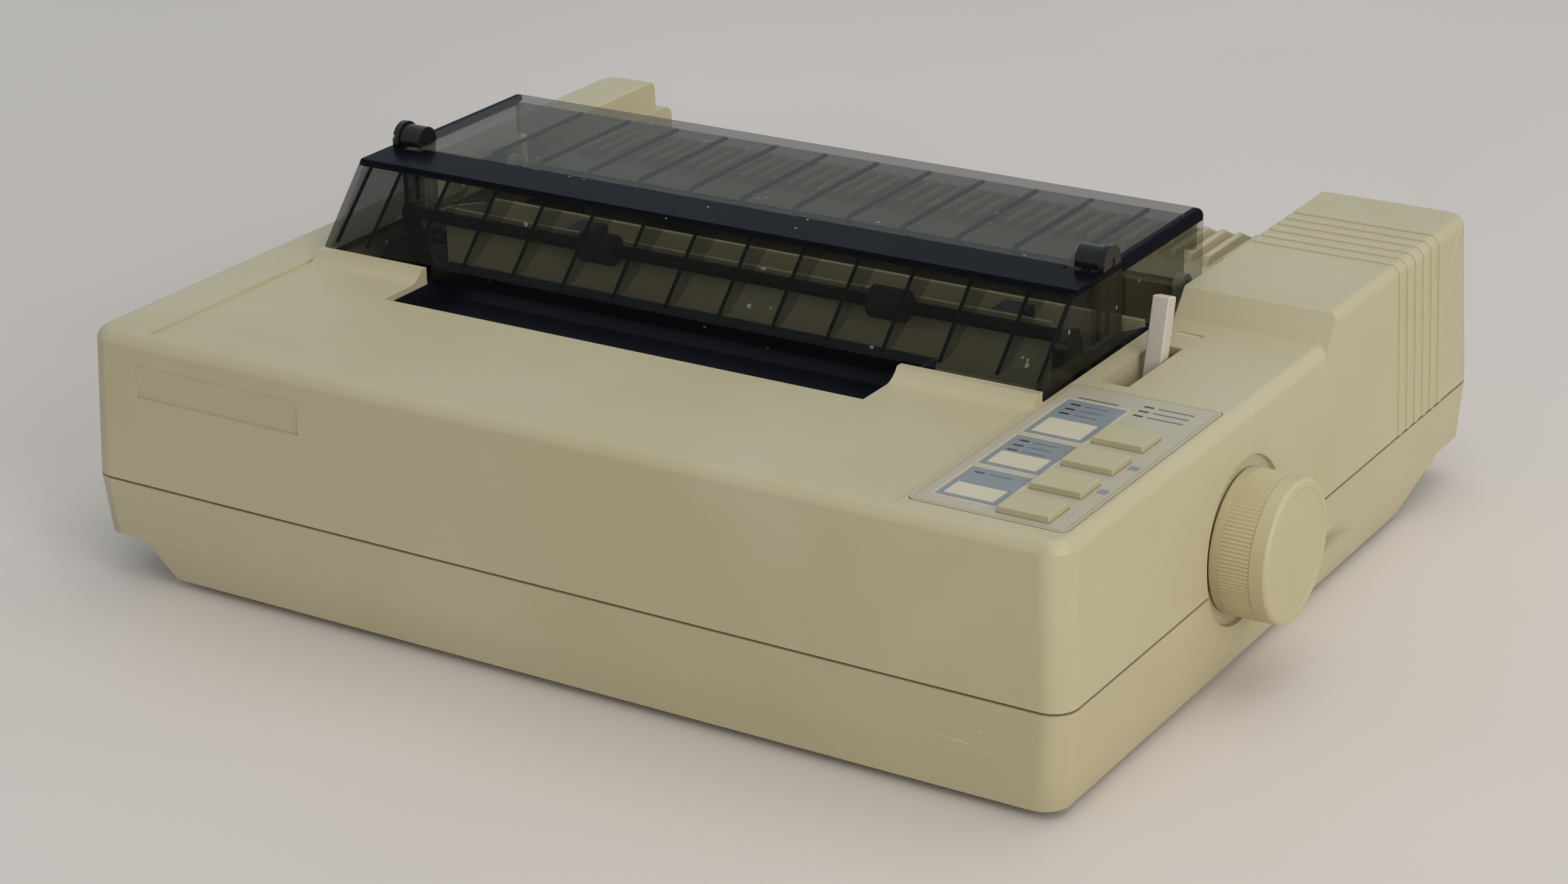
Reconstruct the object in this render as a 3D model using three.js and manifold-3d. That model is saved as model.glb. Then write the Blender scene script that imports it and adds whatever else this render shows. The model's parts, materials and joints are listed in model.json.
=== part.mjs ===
// A desktop dot-matrix printer: case, smoked covers, platen drive, carriage, tractors and panel.
// Millimetres, +Z up, +X to the right, +Y to the rear. Sizes are set here and everything else
// is worked out from them. The outer group centres the model on its own box.
import * as THREE from "three";
import { mergeVertices } from "three/addons/utils/BufferGeometryUtils.js";
import Module from "manifold-3d";

const wasm = await Module();
wasm.setup();

// ---------------------------------------------------------------- driving sizes
// Case
const caseWidth = 398;
const caseDepth = 333;
const wall = 2.6;
const cornerRadius = 9;
const footHeight = 3;
const creaseHeight = 17.8;
const seamHeight = 40.3;
const seamGap = 0.7;
const deckHeight = 96.4;
const deckThickness = 3;
const draftPerMm = 0.043;
const creaseInset = 1.5;
const plinthInset = 5.3;
const plinthLeftLedge = 22;
const plinthRearLedge = 28;
const plinthLeftSlope = 10.5;
const plinthRearSlope = 28;
const tongueThickness = 1.5;
const tongueHeight = 3;
const tongueGap = 0.8;
const fit = 0.3;

// Rear humps, and the ribbed deck between them, which falls away at the rear
const humpHeight = 9.6;
const humpFootY = 32;
const humpSlope = 8;
const rightHumpWidth = 61.7;
const leftHumpWidth = 26.6;
const ridgeCount = 6;
const ridgePitch = 7.45;
const ridgesFromRear = 72.2;
const ridgeWidth = 3;
const ridgeRise = 0.7;
const fallLength = 46.5;
const fallSlope = 0.5;
const fallLedge = 8;
const rearRibPitch = 7;
const rearRibHeight = 3.6;
const rearRibWidth = 2.4;
const rearRibSetback = 15.5;
const rearRibMargin = 12;
const rearRibBend = 2;

// Covers
const coverLeftGap = 1.4;
const coverRightGap = 3.3;
const coverWall = 2.4;
const openingSide = 1.2;
const coverFrontY = -60.5;
const coverLift = 3.9;
const coverRise = 27.2;
const crestY = -36;
const stripRearY = -15.5;
const panelRearY = -2;
const panelDrop = 5.3;
const hoodRearY = 62;
const hoodLift = 1.6;
const hoodSideGap = 0.4;
const hoodFrontGap = 0.6;
const hoodPanelGap = 2.5;
const paperSlot = 7;
const knuckleY = -10;
const knuckleRise = 1.5;
const knuckleRadius = 5.5;
const knuckleLength = 9;
const knucklePinRadius = 1.7;
const hoodHingeY = 55;
const hoodHingeLift = 3.6;
const hingePinRadius = 2.2;
const hingeEarWidth = 3.6;
const hingeEarRadius = 4.4;

// Deck
const deckRecess = 0.8;
const deckMargin = 8.5;
const mouthLeftMargin = 52.3;
const mouthRightMargin = 53.5;
const mouthDepth = 26.5;
const lipHeight = 4.4;
const lipDepth = 2.8;
const labelWidth = 56;
const labelSideMargin = 7.2;
const labelFrontMargin = 12.5;
const labelSetback = 19.5;
const labelThickness = 0.8;
const labelProud = 0.2;
const labelCorner = 2;

// Buttons
const buttonCount = 4;
const buttonWidth = 18;
const buttonDepth = 13.2;
const buttonPitch = 21.3;
const buttonsFromRight = 26;
const buttonFrontMargin = 4.1;
const buttonProud = 2.2;
const buttonTravel = 1.2;
const buttonFlange = 1;
const boardThickness = 1.6;

// Platen and its drive
const platenY = -36.5;
const platenZ = 50;
const platenRadius = 15;
const platenEndGap = 17.5;
const shaftRadius = 4;
const runningGap = 0.1;
const bushRadius = 7;
const knobRadius = 25.4;
const knobLength = 21;
const knobGap = 0.6;
const dishRadius = 29.5;
const frameGap = 8;
const frameSheet = 2;
const frameFrontY = -128;
const frameRearY = 46;
const frameRailTopZ = 62;
const frameFootWidth = 15;
const frameFootZ = 15;
const gearWidth = 5;
const gearModule = 1;
const gearGap = 3.1;
const platenTeeth = 36;
const idlerTeeth = 24;
const pinionTeeth = 12;
const tractorTeeth = 24;
const gearBacklash = 0.25;
const idlerAngle = 10;
const pinionAngle = 20;
const tractorAngle = 75;
const idlerStudRadius = 2.5;
const pinionStubRadius = 2;
const feedMotorRadius = 18;
const feedMotorLength = 26;
const pinchRadius = 6;
const pinchLength = 30;
const pinchShaftRadius = 2;
const pinchPlaces = [-71.5, -1.5, 68.5];

// Carriage
const rodY = -92;
const rodZ = 36;
const rodRadius = 5;
const carriageHalf = 26;
const carriageLowZ = 28;
const carriageTopZ = 47;
const carriageFrontY = -106;
const carriageRearY = -74;
const railY = -122;
const railThickness = 4;
const railLowZ = 46;
const railHeight = 10;
const beltY = -121;
const beltLowZ = 30;
const beltHeight = 5;
const beltThickness = 1.2;
const pulleyRadius = 7;
const pulleyInset = 20;
const carriageMotorRadius = 17;
const cartridgeHalf = 40;
const cartridgeFront = 26;
const headGap = 1.2;

// Paper bail
const bailPivotY = -8;
const bailPivotZ = 66;
const bailRollerRadius = 6;
const bailRollerLength = 14;
const bailBarRadius = 2.5;
const bailSwing = 68;
const bailContactAngle = 120;
const bailRollerPlaces = [-61.5, 63.5];

// Release lever
const slotFromHump = 5.7;
const slotWidth = 10.8;
const slotFrontY = -36;
const slotRearY = 5.5;
const leverInSlot = 3;
const leverWidth = 6.5;
const leverDepth = 6;
const leverLean = 14;
const leverPivotY = -15;
const leverPivotZ = 58;
const leverRise = 20.6;
const leverPivotRadius = 3;

// Tractors and the paper guide behind them
const tractorWidth = 16;
const tractorRodY = -3;
const tractorRodZ = 88;
const tractorRodRadius = 3;
const tractorShaftRadius = 3;
const tractorHousing = 8.5;
const tractorPlaces = [-81.5, 103.5];
const guideY = 27;
const guideLean = 5;
const guideSheet = 2;
const guideLowZ = 58;

// Electrics
const switchFromRear = 61.5;
const switchZ = 58;
const rockerWidth = 9.4;
const rockerHeight = 13.6;
const rockerTilt = 8;
const inletFromLeft = 48;
const inletZ = 58;
const inletWidth = 28;
const inletHeight = 20;
const connectorFromRight = 103;
const connectorZ = 32;
const connectorWidth = 72;
const connectorHeight = 11;
const mainBoardWidth = 154;
const mainBoardFrontY = 62;
const mainBoardSideMargin = 23;
const mainBoardRearMargin = 8.5;
const mainBoardLowZ = 24;
const transformerWidth = 58;
const transformerDepth = 44;
const transformerFromLeft = 57;
const transformerFrontY = 60;

// Fasteners, feet and the grip
const postSideMargin = 10.5;
const postFrontMargin = 11.5;
const postRearMargin = 16.5;
const postRadius = 4;
const screwRadius = 1.5;
const screwHeadRadius = 3.3;
const screwSeatZ = 25;
const footRadius = 9;
const footSeat = 1;
const footLeftMargin = 61;
const footRightMargin = 25;
const footFrontMargin = 24.5;
const footRearMargin = 74.5;
const gripFrontY = 20;
const gripLength = 37;
const gripDepth = 6;
const gripHeight = 7.7;

// ---------------------------------------------------------------- places worked out from them
const halfWidth = caseWidth / 2;
const halfDepth = caseDepth / 2;
const upperLowZ = seamHeight + seamGap;
const floorTop = footHeight + wall;
const ledgeTop = creaseHeight + wall;

const deckUnder = deckHeight - deckThickness;
const recessFloor = deckHeight - deckRecess;
const humpTop = deckHeight + humpHeight;
const rightHumpX = halfWidth - rightHumpWidth;
const leftHumpX = -halfWidth + leftHumpWidth;
const fallY = halfDepth - fallLength;

const coverLeftX = leftHumpX + coverLeftGap;
const coverRightX = rightHumpX - coverRightGap;
const coverMidX = (coverLeftX + coverRightX) / 2;
const coverLowZ = deckHeight + coverLift;
const coverTopZ = coverLowZ + coverRise;
const panelLowZ = coverLowZ - panelDrop;
const hoodLowZ = deckHeight + hoodLift;
const knuckleZ = coverTopZ + knuckleRise;
const hoodHingeZ = deckHeight + hoodHingeLift;
const lipTop = coverLowZ - fit;
const lipRearY = coverFrontY - openingSide;
const lipFrontY = lipRearY - lipDepth;
const lipInnerLeftX = coverLeftX + coverWall + fit;
const lipInnerRightX = coverRightX - coverWall - fit;
const mouthLeftX = coverLeftX + mouthLeftMargin;
const mouthRightX = coverRightX - mouthRightMargin;
const mouthFrontY = coverFrontY - mouthDepth;

const labelRightX = halfWidth - labelSideMargin;
const labelLeftX = labelRightX - labelWidth;
const labelFrontY = -halfDepth + labelFrontMargin;
const labelRearY = coverFrontY + labelSetback;
const buttonLeftX = labelRightX - buttonsFromRight;
const buttonFirstY = labelFrontY + buttonFrontMargin + buttonDepth + (buttonCount - 1) * buttonPitch;
const buttonTop = deckHeight + labelProud + buttonProud;

const slotLeftX = rightHumpX + slotFromHump;
const slotRightX = slotLeftX + slotWidth;
const leverLeftX = slotLeftX + leverInSlot;
const leverTopZ = deckHeight + leverRise;

const frameLeftX = coverLeftX + frameGap;
const frameRightX = coverRightX - frameGap;
const rodEnds = [frameLeftX - frameSheet - 1, frameRightX + frameSheet + 1];
const gearLeftX = frameLeftX + gearGap;
const knobBackX = halfWidth - wall;
const dishFloorX = knobBackX - knobGap;
const pulleyLeftX = frameLeftX + pulleyInset;
const pulleyRightX = frameRightX - pulleyInset;

const switchY = halfDepth - switchFromRear;
const inletX = -halfWidth + inletFromLeft;
const connectorX = halfWidth - connectorFromRight;
const mainBoardRightX = halfWidth - mainBoardSideMargin;
const mainBoardLeftX = mainBoardRightX - mainBoardWidth;
const mainBoardRearY = halfDepth - mainBoardRearMargin;

const postX = halfWidth - postSideMargin;
const postFrontY = -halfDepth + postFrontMargin;
const postRearY = halfDepth - postRearMargin;
const footLeftX = -halfWidth + footLeftMargin;
const footRightX = halfWidth - footRightMargin;
const footFrontY = -halfDepth + footFrontMargin;
const footRearY = halfDepth - footRearMargin;

// ---------------------------------------------------------------- materials
function plastic(color, roughness = 0.55) {
  return new THREE.MeshStandardMaterial({ color, roughness, metalness: 0 });
}

function metal(color, roughness = 0.35) {
  return new THREE.MeshStandardMaterial({ color, roughness, metalness: 0.9 });
}

const beige = plastic(0xc9c19c);
const buttonBeige = plastic(0xd2caa0);
const smoke = new THREE.MeshStandardMaterial({
  color: 0x2c2d28,
  roughness: 0.12,
  metalness: 0,
  transparent: true,
  opacity: 0.6,
});
const labelGrey = plastic(0xc6c2b6, 0.5);
const leverGrey = plastic(0xcbc0bb);
const black = plastic(0x1b1b1c, 0.5);
const rubber = plastic(0x161616, 0.85);
const white = plastic(0xe4e2da, 0.45);
const boardGreen = plastic(0x2f5a3a, 0.5);
const steel = metal(0x9c9da0);
const zinc = metal(0xb4b3ac, 0.45);

// ---------------------------------------------------------------- shapes
function box(x0, x1, y0, y1, z0, z1) {
  const block = new THREE.BoxGeometry(x1 - x0, y1 - y0, z1 - z0);
  return block.translate((x0 + x1) / 2, (y0 + y1) / 2, (z0 + z1) / 2);
}

function rodAlongX(y, z, radius, x0, x1, sides = 24) {
  const rod = new THREE.CylinderGeometry(radius, radius, x1 - x0, sides);
  return rod.rotateZ(Math.PI / 2).translate((x0 + x1) / 2, y, z);
}

function rodAlongZ(x, y, radius, z0, z1, sides = 24) {
  const rod = new THREE.CylinderGeometry(radius, radius, z1 - z0, sides);
  return rod.rotateX(Math.PI / 2).translate(x, y, (z0 + z1) / 2);
}

function polygon(points) {
  return new THREE.Shape(points.map(([u, v]) => new THREE.Vector2(u, v)));
}

function roundedRectangle(x0, x1, y0, y1, radius) {
  const outline = new THREE.Shape();
  const quarter = Math.PI / 2;
  outline.absarc(x1 - radius, y1 - radius, radius, 0, quarter);
  outline.absarc(x0 + radius, y1 - radius, radius, quarter, 2 * quarter);
  outline.absarc(x0 + radius, y0 + radius, radius, 2 * quarter, 3 * quarter);
  outline.absarc(x1 - radius, y0 + radius, radius, 3 * quarter, 4 * quarter);
  return outline;
}

// A bar with round ends between two points.
function roundedBar(u0, v0, u1, v1, radius) {
  const along = Math.atan2(v1 - v0, u1 - u0);
  const quarter = Math.PI / 2;
  const outline = new THREE.Shape();
  outline.absarc(u1, v1, radius, along - quarter, along + quarter);
  outline.absarc(u0, v0, radius, along + quarter, along + 3 * quarter);
  return outline;
}

// An outline drawn in X and Y, standing from z0 to z1.
function standing(outline, z0, z1, curveSegments = 6) {
  const settings = { depth: z1 - z0, bevelEnabled: false, curveSegments };
  return new THREE.ExtrudeGeometry(outline, settings).translate(0, 0, z0);
}

// An outline drawn in Y and Z, running along X from x0 to x1.
function across(outline, x0, x1, curveSegments = 6) {
  const settings = { depth: x1 - x0, bevelEnabled: false, curveSegments };
  const turn = new THREE.Matrix4().makeBasis(
    new THREE.Vector3(0, 1, 0),
    new THREE.Vector3(0, 0, 1),
    new THREE.Vector3(1, 0, 0),
  );
  return new THREE.ExtrudeGeometry(outline, settings).applyMatrix4(turn).translate(x0, 0, 0);
}

// ---------------------------------------------------------------- joining and cutting
function solidOf(geometry) {
  const bare = geometry.clone();
  bare.deleteAttribute("normal");
  bare.deleteAttribute("uv");
  const merged = mergeVertices(bare, 1e-4);
  const corners = [];
  const index = merged.index.array;
  for (let i = 0; i < index.length; i += 3) {
    const [a, b, c] = [index[i], index[i + 1], index[i + 2]];
    if (a !== b && b !== c && c !== a) corners.push(a, b, c);
  }
  const mesh = new wasm.Mesh({
    numProp: 3,
    vertProperties: Float32Array.from(merged.attributes.position.array),
    triVerts: Uint32Array.from(corners),
  });
  return new wasm.Manifold(mesh);
}

function geometryOf(solid) {
  const { vertProperties, triVerts } = solid.getMesh();
  const geometry = new THREE.BufferGeometry();
  geometry.setAttribute("position", new THREE.BufferAttribute(vertProperties, 3));
  geometry.setIndex(new THREE.BufferAttribute(triVerts, 1));
  return geometry;
}

function combine(how, first, rest) {
  let solid = solidOf(first);
  for (const geometry of rest) solid = solid[how](solidOf(geometry));
  return geometryOf(solid);
}

const join = (first, ...rest) => combine("add", first, rest);
const cut = (first, ...rest) => combine("subtract", first, rest);
const common = (first, ...rest) => combine("intersect", first, rest);

// Moves every height of a solid so that its outline runs from one set of sides to another.
function drafted(geometry, lowZ, low, highZ, high) {
  geometry.computeBoundingBox();
  const { min, max } = geometry.boundingBox;
  const position = geometry.attributes.position;
  const { mapLinear, lerp } = THREE.MathUtils;
  for (let i = 0; i < position.count; i += 1) {
    const z = position.getZ(i);
    const t = (z - lowZ) / (highZ - lowZ);
    const side = low.map((value, k) => lerp(value, high[k], t));
    const x = mapLinear(position.getX(i), min.x, max.x, side[0], side[1]);
    const y = mapLinear(position.getY(i), min.y, max.y, side[2], side[3]);
    position.setXYZ(i, x, y, z);
  }
  return geometry;
}

function sides(inset) {
  return [-halfWidth + inset, halfWidth - inset, -halfDepth + inset, halfDepth - inset];
}

const model = new THREE.Group();

function place(name, geometry, material) {
  const mesh = new THREE.Mesh(geometry, material);
  mesh.name = name;
  model.add(mesh);
  return mesh;
}

// ---------------------------------------------------------------- case
// A block with drafted sides up to the given height, moved inwards by a wall's thickness.
function upperBlock(top, shrink) {
  const block = standing(roundedRectangle(...sides(0), cornerRadius - shrink), seamHeight - wall, top, 4);
  const topInset = shrink + draftPerMm * (deckHeight - seamHeight);
  return drafted(block, seamHeight, sides(shrink), deckHeight, sides(topInset));
}

// The height of a surface that leaves the deck's level where the rear fall starts.
function fallAt(level, y) {
  return level - fallSlope * (y - fallY);
}

// The outside of the upper case, or its hollow: a deck with a hump at each rear corner, which
// falls away between the humps except for a narrow ledge beside the left one.
function upperForm(deck, top, shrink) {
  const over = top + wall;
  const inFront = polygon([
    [-caseDepth, deck],
    [humpFootY + shrink, deck],
    [humpFootY + shrink + humpSlope, top],
    [humpFootY + shrink + humpSlope, over],
    [-caseDepth, over],
  ]);
  const fall = polygon([
    [fallY, deck],
    [caseDepth, fallAt(deck, caseDepth)],
    [caseDepth, over],
    [fallY, over],
  ]);
  return cut(
    upperBlock(top, shrink),
    across(inFront, -caseWidth, caseWidth),
    box(leftHumpX - shrink, rightHumpX + shrink, humpFootY, caseDepth, deck, over),
    across(fall, leftHumpX + fallLedge - shrink, rightHumpX + shrink),
  );
}

// Raised ridges over the right hump: slices of a thin skin around it.
function humpRidges() {
  const skin = cut(upperBlock(humpTop + ridgeRise, -ridgeRise), upperBlock(humpTop - wall / 2, wall / 2));
  const slices = [];
  for (let i = 0; i < ridgeCount; i += 1) {
    const y = halfDepth - ridgesFromRear + i * ridgePitch;
    slices.push(box(rightHumpX + fit, caseWidth, y, y + ridgeWidth, upperLowZ, 2 * humpTop));
  }
  return common(join(...slices), skin);
}

function lip(x0, x1) {
  const outline = polygon([
    [lipFrontY - lipHeight / 2, deckUnder],
    [lipFrontY - lipHeight / 2, recessFloor],
    [lipFrontY, lipTop],
    [lipRearY, lipTop],
    [lipRearY, deckUnder],
  ]);
  return across(outline, x0, x1);
}

// Ribs that guide the paper over the rear deck and down its fall.
function rearRibs() {
  const count = Math.floor((rightHumpX - leftHumpX - fallLedge) / rearRibPitch) - 1;
  const rootZ = deckUnder + 1;
  const ribTop = deckHeight + rearRibHeight;
  const y0 = deckRearEdgeY + rearRibSetback;
  const y1 = halfDepth - rearRibMargin;
  const outline = polygon([
    [y0, rootZ],
    [fallY, rootZ],
    [y1, fallAt(rootZ, y1)],
    [y1, fallAt(ribTop, y1 + rearRibBend)],
    [fallY - rearRibBend, ribTop],
    [y0, ribTop],
  ]);
  const ribs = [];
  for (let i = 1; i <= count; i += 1) {
    const x = rightHumpX - i * rearRibPitch;
    ribs.push(across(outline, x - rearRibWidth / 2, x + rearRibWidth / 2));
  }
  return ribs;
}

// The ears that carry the hood: each stands on the deck's rear edge, just inside a hood wall.
const earLeftX = coverLeftX + coverWall + fit;
const earRightX = coverRightX - coverWall - fit - hingeEarWidth;
const deckRearEdgeY = hoodRearY + paperSlot;

function hingeEar(x) {
  const ear = across(
    roundedBar(hoodHingeY, hoodHingeZ, hoodHingeY, deckUnder - 1, hingeEarRadius),
    x,
    x + hingeEarWidth,
  );
  const under = deckUnder - 3;
  const arm = box(x, x + hingeEarWidth, hoodHingeY, deckRearEdgeY + 6, under, deckUnder + 1);
  return join(ear, arm);
}

function coverOpening() {
  const left = coverLeftX - openingSide;
  const right = coverRightX + openingSide;
  const outline = polygon([
    [left, lipRearY],
    [mouthLeftX, lipRearY],
    [mouthLeftX, mouthFrontY],
    [mouthRightX, mouthFrontY],
    [mouthRightX, lipRearY],
    [right, lipRearY],
    [right, deckRearEdgeY],
    [left, deckRearEdgeY],
  ]);
  return standing(outline, deckUnder - 2, humpTop);
}

const postPlaces = [
  ["front_left", -postX, postFrontY],
  ["front_right", postX, postFrontY],
  ["rear_left", -postX, postRearY],
  ["rear_right", postX, postRearY],
];

function buttonY(i) {
  return buttonFirstY - i * buttonPitch;
}

function buttonHole(i, z0) {
  const gap = fit + 0.1;
  const y = buttonY(i);
  const x1 = buttonLeftX + buttonWidth;
  return box(buttonLeftX - gap, x1 + gap, y - buttonDepth - gap, y + gap, z0, humpTop);
}

function upperCase() {
  const shell = cut(upperForm(deckHeight, humpTop, 0), upperForm(deckUnder, humpTop - wall, wall));
  const pad = rodAlongX(platenY, platenZ, dishRadius + 3, dishFloorX - wall, dishFloorX + 1, 28);
  const posts = postPlaces.map(([, x, y]) => {
    const top = y > humpFootY ? humpTop - wall : deckUnder;
    return rodAlongZ(x, y, postRadius, upperLowZ, top + 0.6, 8);
  });
  const recess = box(
    leftHumpX,
    labelLeftX - 1,
    -halfDepth + deckMargin,
    lipFrontY - lipHeight / 2,
    recessFloor,
    humpTop,
  );
  const whole = join(
    cut(shell, recess),
    lip(lipInnerLeftX, mouthLeftX),
    lip(mouthRightX, lipInnerRightX),
    pad,
    ...posts,
    ...rearRibs(),
    humpRidges(),
  );
  const labelSeat = box(
    labelLeftX,
    labelRightX,
    labelFrontY,
    labelRearY,
    deckHeight + labelProud - labelThickness - fit,
    humpTop,
  );
  const buttonHoles = [];
  for (let i = 0; i < buttonCount; i += 1) {
    buttonHoles.push(buttonHole(i, deckUnder - 1));
  }
  const screwHoles = postPlaces.map(([, x, y]) => rodAlongZ(x, y, screwRadius + fit, 0, deckUnder - 30, 8));
  const switchHole = box(
    -caseWidth,
    -halfWidth + 4 * wall,
    switchY - rockerWidth / 2 - 0.5,
    switchY + rockerWidth / 2 + 0.5,
    switchZ - rockerHeight / 2 - 1,
    switchZ + rockerHeight / 2 + 1,
  );
  const inletHole = box(
    inletX - inletWidth / 2,
    inletX + inletWidth / 2,
    halfDepth - 4 * wall,
    caseDepth,
    inletZ - inletHeight / 2,
    inletZ + inletHeight / 2,
  );
  const notch = box(slotLeftX + 2, slotRightX + 1, slotRearY + 11, slotRearY + 15, recessFloor, humpTop);
  const pierced = cut(
    whole,
    box(-caseWidth, caseWidth, -caseDepth, caseDepth, 0, upperLowZ),
    coverOpening(),
    labelSeat,
    ...buttonHoles,
    ...screwHoles,
    box(slotLeftX, slotRightX, slotFrontY, slotRearY, deckUnder - 1, humpTop),
    notch,
    rodAlongX(platenY, platenZ, 2 * shaftRadius, 0, caseWidth),
    rodAlongX(platenY, platenZ, dishRadius, dishFloorX, caseWidth, 28),
    switchHole,
    inletHole,
  );
  const ears = join(hingeEar(earLeftX), hingeEar(earRightX));
  const earBore = hingePinRadius + runningGap;
  const earHoles = rodAlongX(hoodHingeY, hoodHingeZ, earBore, coverLeftX, coverRightX, 16);
  return cut(join(pierced, ears), earHoles);
}

function trayBlock(lowZ, highZ, inset, radius) {
  const block = standing(roundedRectangle(...sides(0), radius), lowZ, highZ, 3);
  return drafted(block, creaseHeight, sides(inset + creaseInset), seamHeight, sides(inset));
}

function plinthBlock(lowZ, highZ, shrink) {
  const outline = roundedRectangle(...sides(0), cornerRadius - shrink);
  const block = standing(outline, lowZ, highZ, 3);
  const top = sides(creaseInset + shrink);
  top[0] += plinthLeftLedge - creaseInset;
  top[3] -= plinthRearLedge - creaseInset;
  const bottom = sides(plinthInset + shrink);
  bottom[0] += plinthLeftLedge + plinthLeftSlope - plinthInset;
  bottom[3] -= plinthRearLedge + plinthRearSlope - plinthInset;
  return drafted(block, footHeight, bottom, creaseHeight, top);
}

const footPlaces = [
  ["front_left", footLeftX, footFrontY],
  ["front_right", footRightX, footFrontY],
  ["rear_left", footLeftX, footRearY],
  ["rear_right", footRightX, footRearY],
];
const frameBossYs = [-86, 32];
const frameBossInset = 8;
const boardPosts = [];
for (const x of [mainBoardLeftX + 10, mainBoardRightX - 12]) {
  for (const y of [mainBoardFrontY + 10, mainBoardRearY - 8]) boardPosts.push([x, y]);
}

// A pocket for the fingertips under the right side, or the wall around it when grown.
function gripPocket(grow) {
  return box(
    halfWidth - gripDepth - grow,
    caseWidth,
    gripFrontY - grow,
    gripFrontY + gripLength + grow,
    creaseHeight,
    creaseHeight + gripHeight + grow,
  );
}

// Posts for the case screws, bosses under the side frames and legs under the main board.
function lowerPosts() {
  const posts = [];
  const bossTop = frameFootZ - fit;
  for (const [, x, y] of postPlaces) {
    posts.push(rodAlongZ(x, y, postRadius + 1, footHeight, seamHeight, 8));
  }
  for (const y of frameBossYs) {
    posts.push(rodAlongZ(frameLeftX + frameBossInset, y, 5, floorTop - 1, bossTop, 8));
    posts.push(rodAlongZ(frameRightX - frameBossInset, y, 5, floorTop - 1, bossTop, 8));
  }
  for (const [x, y] of boardPosts) {
    posts.push(rodAlongZ(x, y, 3.5, footHeight + 1, mainBoardLowZ - fit, 8));
  }
  posts.push(rodAlongZ(pulleyLeftX, beltY, 5, footHeight + 1, beltLowZ - 1 - fit, 8));
  posts.push(rodAlongZ(pulleyLeftX, beltY, 2, footHeight + 1, beltLowZ + beltHeight + 1, 12));
  return posts;
}

function lowerCase() {
  const tongueInset = wall + tongueGap;
  const tongueTop = upperLowZ + tongueHeight;
  const thickFrom = seamHeight - 4;
  const tongueCorner = cornerRadius - tongueInset;
  const tray = trayBlock(creaseHeight, seamHeight, 0, cornerRadius);
  const outer = join(tray, plinthBlock(footHeight, creaseHeight + 1, 0));
  const tongue = trayBlock(thickFrom, tongueTop, tongueInset, tongueCorner);
  const hollow = [
    trayBlock(ledgeTop, thickFrom + 0.1, wall, cornerRadius - wall),
    trayBlock(thickFrom, tongueTop + 1, tongueInset + tongueThickness, tongueCorner),
    plinthBlock(floorTop, ledgeTop + 0.1, wall),
  ];
  const pad = rodAlongX(platenY, platenZ, dishRadius + 3, dishFloorX - wall, dishFloorX + 1, 28);
  const belowSeam = box(-caseWidth, caseWidth, -caseDepth, caseDepth, 0, seamHeight);
  const inside = common(join(pad, gripPocket(wall), ...lowerPosts()), belowSeam);
  const envelope = join(outer, trayBlock(ledgeTop, seamHeight, 0, 1));
  const whole = join(cut(join(outer, tongue), ...hollow), common(inside, envelope));
  const screwHoles = [];
  for (const [, x, y] of postPlaces) {
    screwHoles.push(rodAlongZ(x, y, screwRadius + fit, 0, caseWidth, 8));
    screwHoles.push(rodAlongZ(x, y, screwHeadRadius + 2 * fit, 0, screwSeatZ, 12));
  }
  const seatTop = footHeight + footSeat;
  const footSeats = footPlaces.map(([, x, y]) => rodAlongZ(x, y, footRadius + fit, 0, seatTop, 16));
  const tongueGapAtDish = box(
    halfWidth - 3 * wall,
    halfWidth - wall,
    platenY - dishRadius - 4,
    platenY + dishRadius + 4,
    seamHeight,
    tongueTop + 1,
  );
  const connectorHole = box(
    connectorX - connectorWidth / 2,
    connectorX + connectorWidth / 2,
    halfDepth - 4 * wall,
    caseDepth,
    connectorZ - connectorHeight / 2,
    connectorZ + connectorHeight / 2,
  );
  return cut(
    whole,
    ...screwHoles,
    ...footSeats,
    rodAlongX(platenY, platenZ, dishRadius, dishFloorX, caseWidth, 28),
    tongueGapAtDish,
    gripPocket(0),
    connectorHole,
  );
}

place("lower_case", lowerCase(), beige);
place("upper_case", upperCase(), beige);

for (const [where, x, y] of footPlaces) {
  place(`foot_${where}`, rodAlongZ(x, y, footRadius, 0, footHeight + footSeat - fit, 16), rubber);
}

for (const [where, x, y] of postPlaces) {
  const head = rodAlongZ(x, y, screwHeadRadius, screwSeatZ - fit - 2.4, screwSeatZ - fit, 12);
  const shank = rodAlongZ(x, y, screwRadius, screwSeatZ - 1, upperLowZ + 12, 8);
  place(`case_screw_${where}`, join(head, shank), steel);
}

// ---------------------------------------------------------------- covers
// The outline of the front cover seen from the side; shrink moves the walls inwards.
function frontCoverOutline(shrink) {
  return polygon([
    [coverFrontY + shrink, panelLowZ - shrink],
    [coverFrontY + shrink, coverLowZ],
    [crestY + 0.75 * shrink, coverTopZ - shrink],
    [stripRearY + shrink, coverTopZ - shrink],
    [panelRearY + shrink, coverTopZ - shrink],
    [panelRearY + shrink, panelLowZ - shrink],
  ]);
}

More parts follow.
